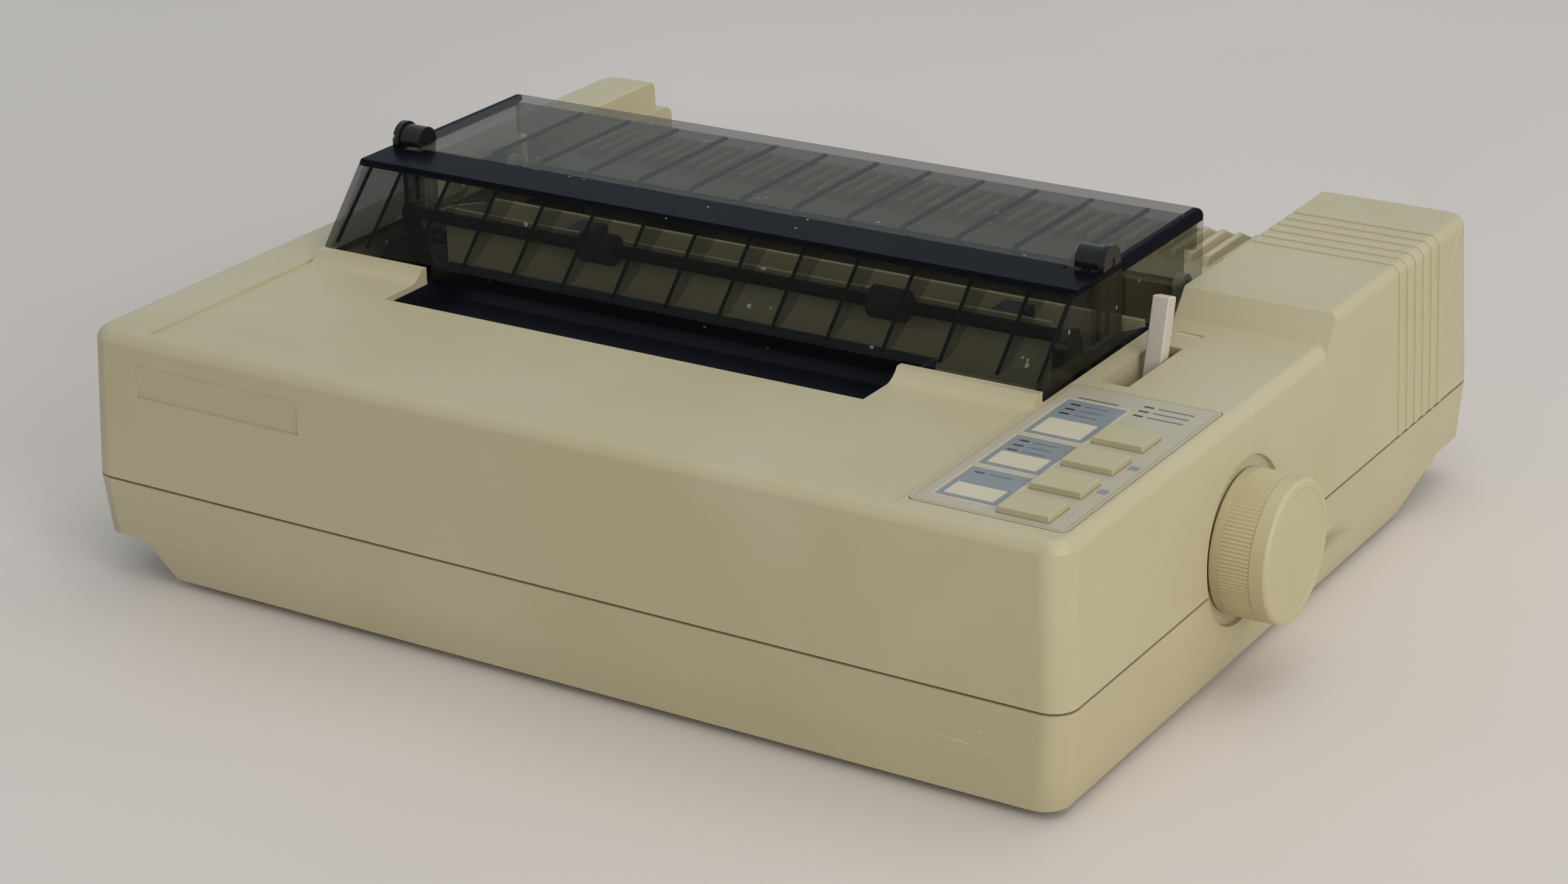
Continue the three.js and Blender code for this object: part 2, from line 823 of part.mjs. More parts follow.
function frontCover() {
  const body = across(frontCoverOutline(0), coverLeftX, coverRightX);
  const ear = roundedBar(knuckleY, knuckleZ, knuckleY, coverTopZ - 12, knuckleRadius + 1);
  const ears = [
    across(ear, coverLeftX, coverLeftX + coverWall),
    across(ear, coverRightX - coverWall, coverRightX),
  ];
  const inner = across(frontCoverOutline(coverWall), coverLeftX + coverWall, coverRightX - coverWall);
  const belowPanel = box(
    coverLeftX + coverWall,
    coverRightX - coverWall,
    coverFrontY - 1,
    panelRearY + 1,
    panelLowZ - 1,
    coverLowZ,
  );
  const behindStrip = box(
    coverLeftX + coverWall,
    coverRightX - coverWall,
    stripRearY,
    panelRearY + 1,
    panelLowZ,
    coverTopZ + 1,
  );
  const notchWidth = knuckleLength + coverWall + 1;
  const notchFrontY = knuckleY - knuckleRadius - 3;
  const notches = [coverLeftX + coverWall, coverRightX - coverWall - notchWidth].map((x) => {
    return box(x, x + notchWidth, notchFrontY, 0, panelLowZ, 2 * coverTopZ);
  });
  const pinHoles = rodAlongX(knuckleY, knuckleZ, knucklePinRadius + runningGap, -caseWidth, caseWidth, 16);
  return cut(join(body, ...ears), inner, belowPanel, behindStrip, ...notches, pinHoles);
}

// The hood is full width behind the front cover's side panels and narrower between them.
function rearCover() {
  const narrowing = coverWall + hoodSideGap;
  const frontY = stripRearY + hoodFrontGap;
  const wideY = panelRearY + hoodPanelGap;
  const inner = coverWall;
  const wide = box(coverLeftX, coverRightX, wideY, hoodRearY, hoodLowZ, coverTopZ);
  const narrow = box(coverLeftX + narrowing, coverRightX - narrowing, frontY, wideY + 1, hoodLowZ, coverTopZ);
  const wideHollow = box(
    coverLeftX + inner,
    coverRightX - inner,
    wideY + inner,
    hoodRearY - inner,
    hoodLowZ - 1,
    coverTopZ - inner,
  );
  const narrowHollow = box(
    coverLeftX + narrowing + inner,
    coverRightX - narrowing - inner,
    frontY - 1,
    wideY + inner + 1,
    hoodLowZ - 1,
    coverTopZ - inner,
  );
  const shell = cut(join(wide, narrow), wideHollow, narrowHollow);
  const pinLength = narrowing - fit;
  const leftEnd = coverLeftX + narrowing;
  const rightEnd = coverRightX - narrowing;
  const knuckles = [
    rodAlongX(knuckleY, knuckleZ, knuckleRadius, leftEnd, leftEnd + knuckleLength),
    rodAlongX(knuckleY, knuckleZ, knuckleRadius, rightEnd - knuckleLength, rightEnd),
    rodAlongX(knuckleY, knuckleZ, knucklePinRadius, leftEnd - pinLength, leftEnd + 0.1, 16),
    rodAlongX(knuckleY, knuckleZ, knucklePinRadius, rightEnd - 0.1, rightEnd + pinLength, 16),
  ];
  const notchWidth = hingeEarWidth + 1.2;
  const notchTop = hoodLowZ + 14;
  const rearNotches = [coverLeftX + coverWall, coverRightX - coverWall - notchWidth].map((x) => {
    return box(x, x + notchWidth, hoodRearY - inner - 1, hoodRearY + 1, hoodLowZ - 1, notchTop);
  });
  const pinHoles = rodAlongX(hoodHingeY, hoodHingeZ, hingePinRadius + runningGap, -caseWidth, caseWidth, 16);
  return cut(join(shell, ...knuckles), ...rearNotches, pinHoles);
}

place("front_cover", frontCover(), smoke);
place("rear_cover", rearCover(), smoke);
place(
  "hinge_pin_left",
  rodAlongX(hoodHingeY, hoodHingeZ, hingePinRadius, coverLeftX + 0.2, earLeftX + hingeEarWidth + 0.5, 16),
  steel,
);
place(
  "hinge_pin_right",
  rodAlongX(hoodHingeY, hoodHingeZ, hingePinRadius, earRightX - 0.5, coverRightX - 0.2, 16),
  steel,
);

// ---------------------------------------------------------------- control panel
function panelLabel() {
  const top = deckHeight + labelProud;
  const edges = [labelLeftX + fit, labelRightX - fit, labelFrontY + fit, labelRearY - fit];
  const outline = roundedRectangle(...edges, labelCorner);
  const holes = [];
  for (let i = 0; i < buttonCount; i += 1) holes.push(buttonHole(i, 0));
  return cut(standing(outline, top - labelThickness, top, 3), ...holes);
}

const buttonLow = deckUnder - 3;
const boardTop = buttonLow - buttonTravel - 1.5;

function button(i) {
  const y = buttonY(i);
  const x1 = buttonLeftX + buttonWidth;
  const cap = box(buttonLeftX, x1, y - buttonDepth, y, buttonLow, buttonTop);
  const flange = box(
    buttonLeftX - buttonFlange,
    x1 + buttonFlange,
    y - buttonDepth - buttonFlange,
    y + buttonFlange,
    buttonLow + 0.6,
    deckUnder - fit,
  );
  return join(cap, flange);
}

// The panel board hangs under the deck on four legs that end just short of it.
function panelBoard() {
  const x0 = labelLeftX + 6;
  const x1 = labelRightX - 7;
  const y0 = labelFrontY + 5;
  const y1 = labelRearY - 8;
  const board = box(x0, x1, y0, y1, boardTop - boardThickness, boardTop);
  const parts = [];
  for (let i = 0; i < buttonCount; i += 1) {
    const y = buttonY(i) - buttonDepth / 2;
    const x = buttonLeftX + buttonWidth / 2;
    parts.push(box(x - 3, x + 3, y - 3, y + 3, boardTop - 0.5, buttonLow - buttonTravel - fit));
  }
  for (const [x, y] of [[x0 + 3, y0 + 3], [x0 + 3, y1 - 3], [x1 - 3, y1 - 3], [x0 + 3, (y0 + y1) / 2]]) {
    parts.push(rodAlongZ(x, y, 2.5, boardTop - 1, deckUnder - fit, 12));
  }
  return join(board, ...parts);
}

place("panel_label", panelLabel(), labelGrey);
place("panel_board", panelBoard(), boardGreen);
for (let i = 0; i < buttonCount; i += 1) place(`button_${i + 1}`, button(i), buttonBeige);

// ---------------------------------------------------------------- gear train
function polar(y, z, distance, degrees) {
  const angle = THREE.MathUtils.degToRad(degrees);
  return [y + distance * Math.cos(angle), z + distance * Math.sin(angle)];
}

function gearRadius(teeth) {
  return (teeth * gearModule) / 2;
}

const meshGap = 0.2;
const idlerDistance = gearRadius(platenTeeth) + gearRadius(idlerTeeth) + meshGap;
const pinionDistance = gearRadius(idlerTeeth) + gearRadius(pinionTeeth) + meshGap;
const tractorDistance = gearRadius(pinionTeeth) + gearRadius(tractorTeeth) + meshGap;
const [idlerY, idlerZ] = polar(platenY, platenZ, idlerDistance, idlerAngle);
const [pinionY, pinionZ] = polar(idlerY, idlerZ, pinionDistance, pinionAngle);
const [tractorY, tractorZ] = polar(pinionY, pinionZ, tractorDistance, tractorAngle);

// The angle of a tooth on the next gear, so that its gaps meet the teeth of the gear before.
function meshedPhase(teethBefore, phaseBefore, towards, teeth) {
  const pitchBefore = 360 / teethBefore;
  const past = (((towards - phaseBefore) % pitchBefore) + pitchBefore) % pitchBefore;
  return towards + 180 + (past / pitchBefore + 0.5) * (360 / teeth);
}

const platenPhase = 0;
const idlerPhase = meshedPhase(platenTeeth, platenPhase, idlerAngle, idlerTeeth);
const pinionPhase = meshedPhase(idlerTeeth, idlerPhase, pinionAngle, pinionTeeth);
const tractorPhase = meshedPhase(pinionTeeth, pinionPhase, tractorAngle, tractorTeeth);

// A straight-sided tooth form with room for the backlash.
function gear(y, z, teeth, phase, bore) {
  const radius = gearRadius(teeth);
  const tip = radius + 0.8 * gearModule;
  const root = radius - 1.15 * gearModule;
  const pitch = (2 * Math.PI) / teeth;
  const halfRoot = pitch * 0.36;
  const halfTip = pitch * 0.13 - gearBacklash / (8 * radius);
  const points = [];
  for (let i = 0; i < teeth; i += 1) {
    const middle = THREE.MathUtils.degToRad(phase) + i * pitch;
    for (const [angle, r] of [[-halfRoot, root], [-halfTip, tip], [halfTip, tip], [halfRoot, root]]) {
      points.push([y + r * Math.cos(middle + angle), z + r * Math.sin(middle + angle)]);
    }
  }
  const outline = polygon(points);
  const hole = new THREE.Path();
  hole.absarc(y, z, bore, 0, 2 * Math.PI, true);
  if (bore > 0) outline.holes.push(hole);
  return across(outline, gearLeftX, gearLeftX + gearWidth);
}

// ---------------------------------------------------------------- side frames
function sideFrame(x0, footTowards) {
  const x1 = x0 + frameSheet;
  const outline = polygon([
    [frameFrontY, frameFootZ],
    [frameRearY, frameFootZ],
    [frameRearY, 72],
    [30, 92],
    [8, 97],
    [-12, 97],
    [-14, 76],
    [-60, 72],
    [-72, frameRailTopZ],
    [frameFrontY, frameRailTopZ],
  ]);
  const plate = across(outline, x0, x1);
  const near = footTowards > 0 ? x0 : x1 - frameFootWidth;
  const footTop = frameFootZ + 1.6;
  const feet = frameBossYs.map((y) => box(near, near + frameFootWidth, y - 8, y + 8, frameFootZ, footTop));
  const reach = [-frameSheet, 2 * frameSheet];
  const holes = [
    rodAlongX(platenY, platenZ, bushRadius + 0.15, x0 + reach[0], x0 + reach[1], 20),
    rodAlongX(rodY, rodZ, rodRadius + 0.15, x0 + reach[0], x0 + reach[1], 16),
    rodAlongX(tractorY, tractorZ, tractorShaftRadius + fit, x0 + reach[0], x0 + reach[1], 12),
    rodAlongX(tractorRodY, tractorRodZ, tractorRodRadius + fit, x0 + reach[0], x0 + reach[1], 12),
    rodAlongX(platenY, pinchZ, pinchShaftRadius + fit, x0 + reach[0], x0 + reach[1], 12),
    box(
      x0 + reach[0],
      x0 + reach[1],
      railY - railThickness / 2 - fit,
      railY + railThickness / 2 + fit,
      railLowZ - fit,
      railLowZ + railHeight + fit,
    ),
  ];
  return [plate, feet, holes];
}

const pinchZ = platenZ - platenRadius - pinchRadius - fit;
const bailArmThickness = 1.5;

function leftFrame() {
  const x0 = frameLeftX - frameSheet;
  const [plate, feet, holes] = sideFrame(x0, 1);
  const studs = [
    rodAlongX(bailPivotY, bailPivotZ, 2, x0 + 1, frameLeftX + fit + bailArmThickness, 16),
    rodAlongX(idlerY, idlerZ, idlerStudRadius, x0 + 1, gearLeftX + gearWidth + 1, 16),
  ];
  const motorHole = rodAlongX(pinionY, pinionZ, 3.2, x0 - 1, frameLeftX + 1, 12);
  return cut(join(plate, ...feet, ...studs), ...holes, motorHole);
}

function rightFrame() {
  const x0 = frameRightX;
  const [plate, feet, holes] = sideFrame(x0, -1);
  const studs = [
    rodAlongX(bailPivotY, bailPivotZ, 2, frameRightX - fit - bailArmThickness, x0 + 1, 16),
    rodAlongX(leverPivotY, leverPivotZ, leverPivotRadius, x0 + 1, leverLeftX + leverWidth + 1.5, 20),
  ];
  return cut(join(plate, ...feet, ...studs), ...holes);
}

place("side_frame_left", leftFrame(), zinc);
place("side_frame_right", rightFrame(), zinc);

// ---------------------------------------------------------------- platen
const platenLeftX = frameLeftX + platenEndGap;
const platenRightX = frameRightX - platenEndGap;
const shaftLeftX = frameLeftX - frameSheet - 3;
const knobFrontX = knobBackX + knobLength;
const knobBore = 14;

function platenRoller() {
  const roller = rodAlongX(platenY, platenZ, platenRadius, platenLeftX, platenRightX, 32);
  return cut(roller, rodAlongX(platenY, platenZ, shaftRadius + fit, -caseWidth, caseWidth, 16));
}

function bush(x0) {
  const inside = x0 + frameSheet;
  const collar = rodAlongX(platenY, platenZ, bushRadius + 2, inside + fit, inside + 1.8, 16);
  const sleeve = rodAlongX(platenY, platenZ, bushRadius, x0 - 1, inside + 1, 16);
  const bore = rodAlongX(platenY, platenZ, shaftRadius + runningGap, -caseWidth, caseWidth, 16);
  return cut(join(sleeve, collar), bore);
}

function platenKnob() {
  const edge = 2.2;
  const profile = [
    [0, knobLength],
    [knobRadius - edge, knobLength],
    [knobRadius - 0.6, knobLength - 0.6],
    [knobRadius, knobLength - edge],
    [knobRadius, 1],
    [knobRadius - 1, 0],
    [shaftRadius + runningGap, 0],
    [shaftRadius + runningGap, knobBore],
    [0, knobBore],
  ].map(([r, along]) => new THREE.Vector2(r, along));
  const turned = new THREE.LatheGeometry(profile.reverse(), 32);
  return geometryOf(solidOf(turned)).rotateZ(-Math.PI / 2).translate(knobBackX, platenY, platenZ);
}

place("platen_roller", platenRoller(), rubber);
place(
  "platen_shaft",
  rodAlongX(platenY, platenZ, shaftRadius, shaftLeftX, knobBackX + knobBore - 1, 24),
  steel,
);
place("platen_bush_left", bush(frameLeftX - frameSheet), white);
place("platen_bush_right", bush(frameRightX), white);
place("platen_knob", platenKnob(), beige);
place(
  "platen_gear",
  gear(platenY, platenZ, platenTeeth, platenPhase, shaftRadius + fit),
  white,
);
place(
  "idler_gear",
  gear(idlerY, idlerZ, idlerTeeth, idlerPhase, idlerStudRadius + runningGap),
  white,
);

function feedPinion() {
  const teeth = gear(pinionY, pinionZ, pinionTeeth, pinionPhase, 0);
  const stub = rodAlongX(pinionY, pinionZ, pinionStubRadius, frameLeftX - frameSheet - 6, gearLeftX + 2, 16);
  return join(teeth, stub);
}

function feedMotor() {
  const x1 = frameLeftX - frameSheet - fit;
  const can = rodAlongX(pinionY, pinionZ, feedMotorRadius, x1 - feedMotorLength, x1, 20);
  return cut(can, rodAlongX(pinionY, pinionZ, pinionStubRadius + fit, x1 - 8, x1 + 1, 16));
}

place("feed_pinion", feedPinion(), steel);
place("feed_motor", feedMotor(), zinc);

// ---------------------------------------------------------------- tractors
place(
  "tractor_gear",
  gear(tractorY, tractorZ, tractorTeeth, tractorPhase, tractorShaftRadius + fit),
  white,
);
place(
  "tractor_shaft",
  rodAlongX(tractorY, tractorZ, tractorShaftRadius, frameLeftX - frameSheet, rodEnds[1], 16),
  steel,
);
place(
  "tractor_rod",
  rodAlongX(tractorRodY, tractorRodZ, tractorRodRadius, ...rodEnds, 16),
  steel,
);

function tractor(x) {
  const x0 = x - tractorWidth / 2;
  const x1 = x + tractorWidth / 2;
  const housing = across(roundedBar(tractorY, tractorZ, tractorRodY, tractorRodZ, tractorHousing), x0, x1, 4);
  const shelfTop = tractorRodZ + tractorHousing + 2;
  const shelf = box(x0 + 2, x1 - 2, tractorRodY - 4, tractorY, tractorRodZ + 2, shelfTop);
  return cut(
    join(housing, shelf),
    rodAlongX(tractorY, tractorZ, tractorShaftRadius + fit, x0 - 1, x1 + 1, 16),
    rodAlongX(tractorRodY, tractorRodZ, tractorRodRadius + fit, x0 - 1, x1 + 1, 16),
  );
}

place("tractor_left", tractor(coverMidX + tractorPlaces[0]), black);
place("tractor_right", tractor(coverMidX + tractorPlaces[1]), black);

// ---------------------------------------------------------------- pinch roller and paper guides
function pinchRoller() {
  const shaft = rodAlongX(platenY, pinchZ, pinchShaftRadius, ...rodEnds, 16);
  const rollers = pinchPlaces.map((place) => {
    const x = coverMidX + place;
    return rodAlongX(platenY, pinchZ, pinchRadius, x, x + pinchLength, 12);
  });
  return join(shaft, ...rollers);
}

const guideTopZ = deckUnder - 0.4;

function paperGuide() {
  const outline = polygon([
    [guideY, guideLowZ],
    [guideY + guideSheet, guideLowZ],
    [guideY + guideLean + guideSheet, guideTopZ],
    [guideY + guideLean, guideTopZ],
  ]);
  return across(outline, frameLeftX + fit, frameRightX - fit);
}

// A dark tray under the mouth, which hides the carriage.
function innerShield() {
  const shieldSheet = 1.6;
  const shieldReach = 5;
  const frontY = mouthFrontY - 4.5;
  const low = deckUnder - 9;
  const outline = polygon([
    [frontY, low],
    [lipFrontY + shieldReach, low],
    [lipFrontY + shieldReach, low + shieldSheet],
    [frontY + shieldSheet, low + shieldSheet],
    [frontY + shieldSheet, deckUnder - fit],
    [frontY, deckUnder - fit],
  ]);
  return across(outline, mouthLeftX - 5, mouthRightX + 5);
}

place("pinch_roller", pinchRoller(), rubber);
place("paper_guide", paperGuide(), beige);
place("inner_shield", innerShield(), black);

// ---------------------------------------------------------------- carriage
const headBase = carriageTopZ + fit;
const carriageX = coverMidX;
const beltRearY = beltY + pulleyRadius;

place(
  "guide_rod",
  rodAlongX(rodY, rodZ, rodRadius, ...rodEnds, 24),
  steel,
);
place(
  "guide_rail",
  box(...rodEnds, railY - railThickness / 2, railY + railThickness / 2, railLowZ, railLowZ + railHeight),
  zinc,
);

function carriage() {
  const x0 = carriageX - carriageHalf;
  const x1 = carriageX + carriageHalf;
  const block = box(x0, x1, carriageFrontY, carriageRearY, carriageLowZ, carriageTopZ);
  const [tabLeft, tabRight] = [carriageX - 10, carriageX + 10];
  const tabRear = carriageFrontY + 1;
  const sliderTop = railLowZ - fit;
  const slider = box(tabLeft, tabRight, railY - 3, tabRear, sliderTop - 4, sliderTop);
  const clip = box(tabLeft, tabRight, beltRearY - 2.5, tabRear, beltLowZ - 2, railLowZ - 1);
  const beltWay = box(
    x0,
    x1,
    beltRearY - 0.5,
    beltRearY + beltThickness + 0.5,
    beltLowZ - 0.5,
    beltLowZ + beltHeight + 0.5,
  );
  return cut(
    join(block, slider, clip),
    rodAlongX(rodY, rodZ, rodRadius + fit, x0 - 1, x1 + 1, 16),
    beltWay,
  );
}

function printHead() {
  const headRearY = rodY + 26;
  const tipY = platenY - platenRadius - headGap;
  const body = box(carriageX - 14, carriageX + 14, rodY, headRearY, headBase, headBase + 18);
  const nose = box(carriageX - 6, carriageX + 6, headRearY - 1, tipY, platenZ - 4, platenZ + 4);
  const fins = [];
  for (let i = 0; i < 4; i += 1) {
    const z = headBase + 3 + i * 4;
    fins.push(box(carriageX - 18, carriageX + 18, rodY + 2, headRearY - 2, z, z + 1.6));
  }
  return join(body, nose, ...fins);
}

function ribbonCartridge() {
  const top = headBase + 12;
  const [x0, x1] = [carriageX - cartridgeHalf, carriageX + cartridgeHalf];
  const shell = box(x0, x1, rodY - cartridgeFront, rodY - 2, headBase, top);
  const arms = [-1, 1].map((side) => {
    const x = carriageX + side * 30;
    return box(x - 3.5, x + 3.5, rodY - 3, rodY + 33, headBase, top - 3);
  });
  const winder = rodAlongZ(carriageX - 28, rodY - cartridgeFront + 12, 6, top - 1, top + 4, 16);
  return join(shell, ...arms, winder);
}

function beltLoop(radius) {
  return roundedBar(pulleyLeftX, beltY, pulleyRightX, beltY, radius);
}

function carriageBelt() {
  const outer = standing(beltLoop(pulleyRadius + beltThickness), beltLowZ, beltLowZ + beltHeight, 8);
  const inner = standing(beltLoop(pulleyRadius + 0.1), beltLowZ - 1, beltLowZ + beltHeight + 1, 8);
  return cut(outer, inner);
}

function pulley(x) {
  const low = beltLowZ - 1;
  const high = beltLowZ + beltHeight + 1;
  const barrel = rodAlongZ(x, beltY, pulleyRadius - 0.2, low, high, 18);
  const flange = rodAlongZ(x, beltY, pulleyRadius + 1.4, low, beltLowZ - fit, 18);
  return join(barrel, flange);
}

function drivePulley() {
  const stub = rodAlongZ(pulleyRightX, beltY, 2, floorTop + 6, beltLowZ, 16);
  return join(pulley(pulleyRightX), stub);
}

function idlerPulley() {
  return cut(pulley(pulleyLeftX), rodAlongZ(pulleyLeftX, beltY, 2 + runningGap, 0, caseWidth, 16));
}

function carriageMotor() {
  const top = beltLowZ - 3;
  const can = rodAlongZ(pulleyRightX, beltY, carriageMotorRadius, floorTop + fit, top, 20);
  return cut(can, rodAlongZ(pulleyRightX, beltY, 2 + fit, floorTop + 5, top + 1, 16));
}

place("carriage", carriage(), black);
place("print_head", printHead(), metal(0x55565a, 0.5));
place("ribbon_cartridge", ribbonCartridge(), black);
place("carriage_belt", carriageBelt(), rubber);
place("drive_pulley", drivePulley(), zinc);
place("idler_pulley", idlerPulley(), white);
place("carriage_motor", carriageMotor(), zinc);

// ---------------------------------------------------------------- paper bail
// At rest the bail is lifted off the platen; its closed place touches the platen's upper front.
const bailReach = platenRadius + bailRollerRadius + 0.4;
const [bailClosedY, bailClosedZ] = polar(platenY, platenZ, bailReach, bailContactAngle);
const bailArm = Math.hypot(bailClosedY - bailPivotY, bailClosedZ - bailPivotZ);
const bailClosedTurn = Math.atan2(bailClosedZ - bailPivotZ, bailClosedY - bailPivotY);
const bailClosedAngle = THREE.MathUtils.radToDeg(bailClosedTurn);
const [bailY, bailZ] = polar(bailPivotY, bailPivotZ, bailArm, bailClosedAngle - bailSwing);

function paperBail() {
  const outline = roundedBar(bailPivotY, bailPivotZ, bailY, bailZ, 3.8);
  const leftX = frameLeftX + fit;
  const rightX = frameRightX - fit - bailArmThickness;
  const bar = rodAlongX(bailY, bailZ, bailBarRadius, leftX + 0.5, rightX + 1, 16);
  const pivots = rodAlongX(bailPivotY, bailPivotZ, 2 + runningGap, -caseWidth, caseWidth, 16);
  const arms = [leftX, rightX].map((x) => across(outline, x, x + bailArmThickness));
  return cut(join(...arms, bar), pivots);
}

function bailRoller(x) {
  const roller = rodAlongX(bailY, bailZ, bailRollerRadius, x, x + bailRollerLength, 20);
  const bore = rodAlongX(bailY, bailZ, bailBarRadius + runningGap, x - 1, x + bailRollerLength + 1, 16);
  return cut(roller, bore);
}

place("paper_bail", paperBail(), steel);
place("bail_roller_left", bailRoller(coverMidX + bailRollerPlaces[0]), rubber);
place("bail_roller_right", bailRoller(coverMidX + bailRollerPlaces[1]), rubber);

// ---------------------------------------------------------------- release lever
function releaseLever() {
  const lean = THREE.MathUtils.degToRad(leverLean);
  const length = (leverTopZ - leverPivotZ) / Math.cos(lean);
  const x1 = leverLeftX + leverWidth;
  const bar = box(leverLeftX, x1, -leverDepth / 2, leverDepth / 2, 0, length);
  const hub = rodAlongX(0, 0, leverPivotRadius + 3, leverLeftX, x1, 20);
  const lever = join(bar, hub).rotateX(-lean).translate(0, leverPivotY, leverPivotZ);
  return cut(lever, rodAlongX(leverPivotY, leverPivotZ, leverPivotRadius + runningGap, 0, caseWidth, 20));
}

place("release_lever", releaseLever(), leverGrey);

// ---------------------------------------------------------------- electrics
function mainBoard() {
  const [x0, x1] = [mainBoardLeftX, mainBoardRightX];
  const [y0, y1] = [mainBoardFrontY, mainBoardRearY];
  const board = box(x0, x1, y0, y1, mainBoardLowZ, mainBoardLowZ + boardThickness);
  const top = mainBoardLowZ + boardThickness - 0.5;
  const chips = [
    box(x0 + 28, x0 + 68, y0 + 22, y0 + 36, top, top + 4.5),
    box(x0 + 82, x0 + 122, y0 + 22, y0 + 36, top, top + 4.5),
    box(x0 + 28, x0 + 62, y0 + 46, y0 + 58, top, top + 4.5),
    box(x0 + 82, x0 + 116, y0 + 46, y0 + 58, top, top + 4.5),
    box(x1 - 26, x1 - 4, y0 + 14, y1 - 18, top, top + 12),
    rodAlongZ(x0 + 14, y0 + 48, 7, top, top + 20, 16),
  ];
  return join(board, ...chips);
}

function dataConnector() {
  const faceY = halfDepth - 2;
  const shellDepth = 16;
  const baseRearY = faceY - 12;
  const baseDepth = 12;
  const mouthMargin = 4;
  const mouthHalf = 3;
  const x0 = connectorX - connectorWidth / 2 + fit;
  const x1 = connectorX + connectorWidth / 2 - fit;
  const top = connectorZ + connectorHeight / 2 - fit;
  const low = mainBoardLowZ + boardThickness + fit;
  const shell = box(x0, x1, faceY - shellDepth, faceY, 2 * connectorZ - top, top);
  const base = box(x0, x1, baseRearY - baseDepth, baseRearY, low, top);
  const mouth = box(
    x0 + mouthMargin,
    x1 - mouthMargin,
    faceY - 5,
    faceY + 1,
    connectorZ - mouthHalf,
    connectorZ + mouthHalf,
  );
  return cut(join(shell, base), mouth);
}

function transformer() {
  const x0 = -halfWidth + transformerFromLeft;
  const x1 = x0 + transformerWidth;
  const y0 = transformerFrontY;
  const y1 = y0 + transformerDepth;
  const core = box(x0, x1, y0, y1, floorTop + 8, floorTop + 38);
  const winding = box(x0 + 10, x1 - 10, y0 - 6, y1 + 6, floorTop + 12, floorTop + 34);
  const foot = box(x0, x1, y0 + 6, y1 - 6, floorTop + fit, floorTop + 9);
  return join(core, winding, foot);
}

function powerInlet() {
  const y1 = halfDepth - wall - 4 * fit;
  const flange = box(
    inletX - inletWidth / 2 - 5,
    inletX + inletWidth / 2 + 5,
    y1 - 3,
    y1 - 0.8,
    inletZ - inletHeight / 2 - 3,
    inletZ + inletHeight / 2 + 3,
  );
  const half = inletWidth / 2 - fit;
  const tall = inletHeight / 2 - fit;
  const body = box(inletX - half, inletX + half, y1 - 22, halfDepth - 2, inletZ - tall, inletZ + tall);
  const rim = 3;
  const mouth = box(
    inletX - half + rim,
    inletX + half - rim,
    y1 - 14,
    halfDepth,
    inletZ - tall + rim,
    inletZ + tall - rim,
  );
  const pins = [-7, 0, 7].map((x) => {
    const z = inletZ + (x === 0 ? 2 : -2);
    return box(inletX + x - 1, inletX + x + 1, y1 - 15, halfDepth - 5, z - 2, z + 2);
  });
  return join(cut(join(flange, body), mouth), ...pins);
}

const switchFaceX = -halfWidth + wall + draftPerMm * (switchZ + rockerHeight - seamHeight) + fit;
const rockerAxisX = -halfWidth + 5.8;

function powerSwitch() {
  const cupY = rockerWidth / 2 + 0.5;
  const cupZ = rockerHeight / 2 + 1;
  const cupDepth = 4.2;
  const rim = 2;
  const body = box(
    switchFaceX,
    switchFaceX + 20,
    switchY - cupY - rim,
    switchY + cupY + rim,
    switchZ - cupZ - rim,
    switchZ + cupZ + rim,
  );
  const cupEnds = [switchFaceX - 1, switchFaceX + cupDepth];
  return cut(body, box(...cupEnds, switchY - cupY, switchY + cupY, switchZ - cupZ, switchZ + cupZ));
}

function powerRocker() {
  const tilt = THREE.MathUtils.degToRad(rockerTilt);
  const cap = new THREE.BoxGeometry(4.5, rockerWidth, rockerHeight).translate(-1.75, 0, 0);
  return cap.rotateY(tilt).translate(rockerAxisX, switchY, switchZ);
}

place("main_board", mainBoard(), boardGreen);
place("data_connector", dataConnector(), black);
place("transformer", transformer(), zinc);
place("power_inlet", powerInlet(), black);
place("power_switch", powerSwitch(), black);
place("power_rocker", powerRocker(), black);

// ---------------------------------------------------------------- the model, centred on its box
const printer = new THREE.Group();
model.position.x = -(knobFrontX - halfWidth) / 2;
printer.add(model);

export default printer;
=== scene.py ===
"""A desktop dot-matrix printer: moulded case, smoked covers, platen knob and control panel.

Shapes are drawn in millimetres from the middle of the case (x), mid-depth (y) and the desk (z),
and moved into the frame, in metres, when a piece is finished.
"""
import json
import math

import bmesh
import bpy
from mathutils import Matrix, Vector


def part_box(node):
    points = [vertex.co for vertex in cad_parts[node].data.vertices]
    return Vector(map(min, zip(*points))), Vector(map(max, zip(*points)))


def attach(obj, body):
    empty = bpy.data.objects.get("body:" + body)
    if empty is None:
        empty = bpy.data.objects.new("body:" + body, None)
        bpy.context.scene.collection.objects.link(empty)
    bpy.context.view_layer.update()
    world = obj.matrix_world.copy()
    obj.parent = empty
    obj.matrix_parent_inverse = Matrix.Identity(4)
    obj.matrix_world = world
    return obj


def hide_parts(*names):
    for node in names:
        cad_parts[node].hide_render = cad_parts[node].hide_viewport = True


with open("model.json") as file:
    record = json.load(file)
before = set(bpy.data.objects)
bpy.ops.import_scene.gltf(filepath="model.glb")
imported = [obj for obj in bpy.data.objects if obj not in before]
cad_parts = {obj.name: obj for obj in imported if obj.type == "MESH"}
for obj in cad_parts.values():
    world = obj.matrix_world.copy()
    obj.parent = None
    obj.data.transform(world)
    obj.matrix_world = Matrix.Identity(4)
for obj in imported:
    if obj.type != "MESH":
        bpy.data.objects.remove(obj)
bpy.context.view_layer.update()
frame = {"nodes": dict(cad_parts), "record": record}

MM = 0.001
CASE_LOW, CASE_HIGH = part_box("lower_case")
CASE_X = (CASE_LOW[0] + CASE_HIGH[0]) / 2
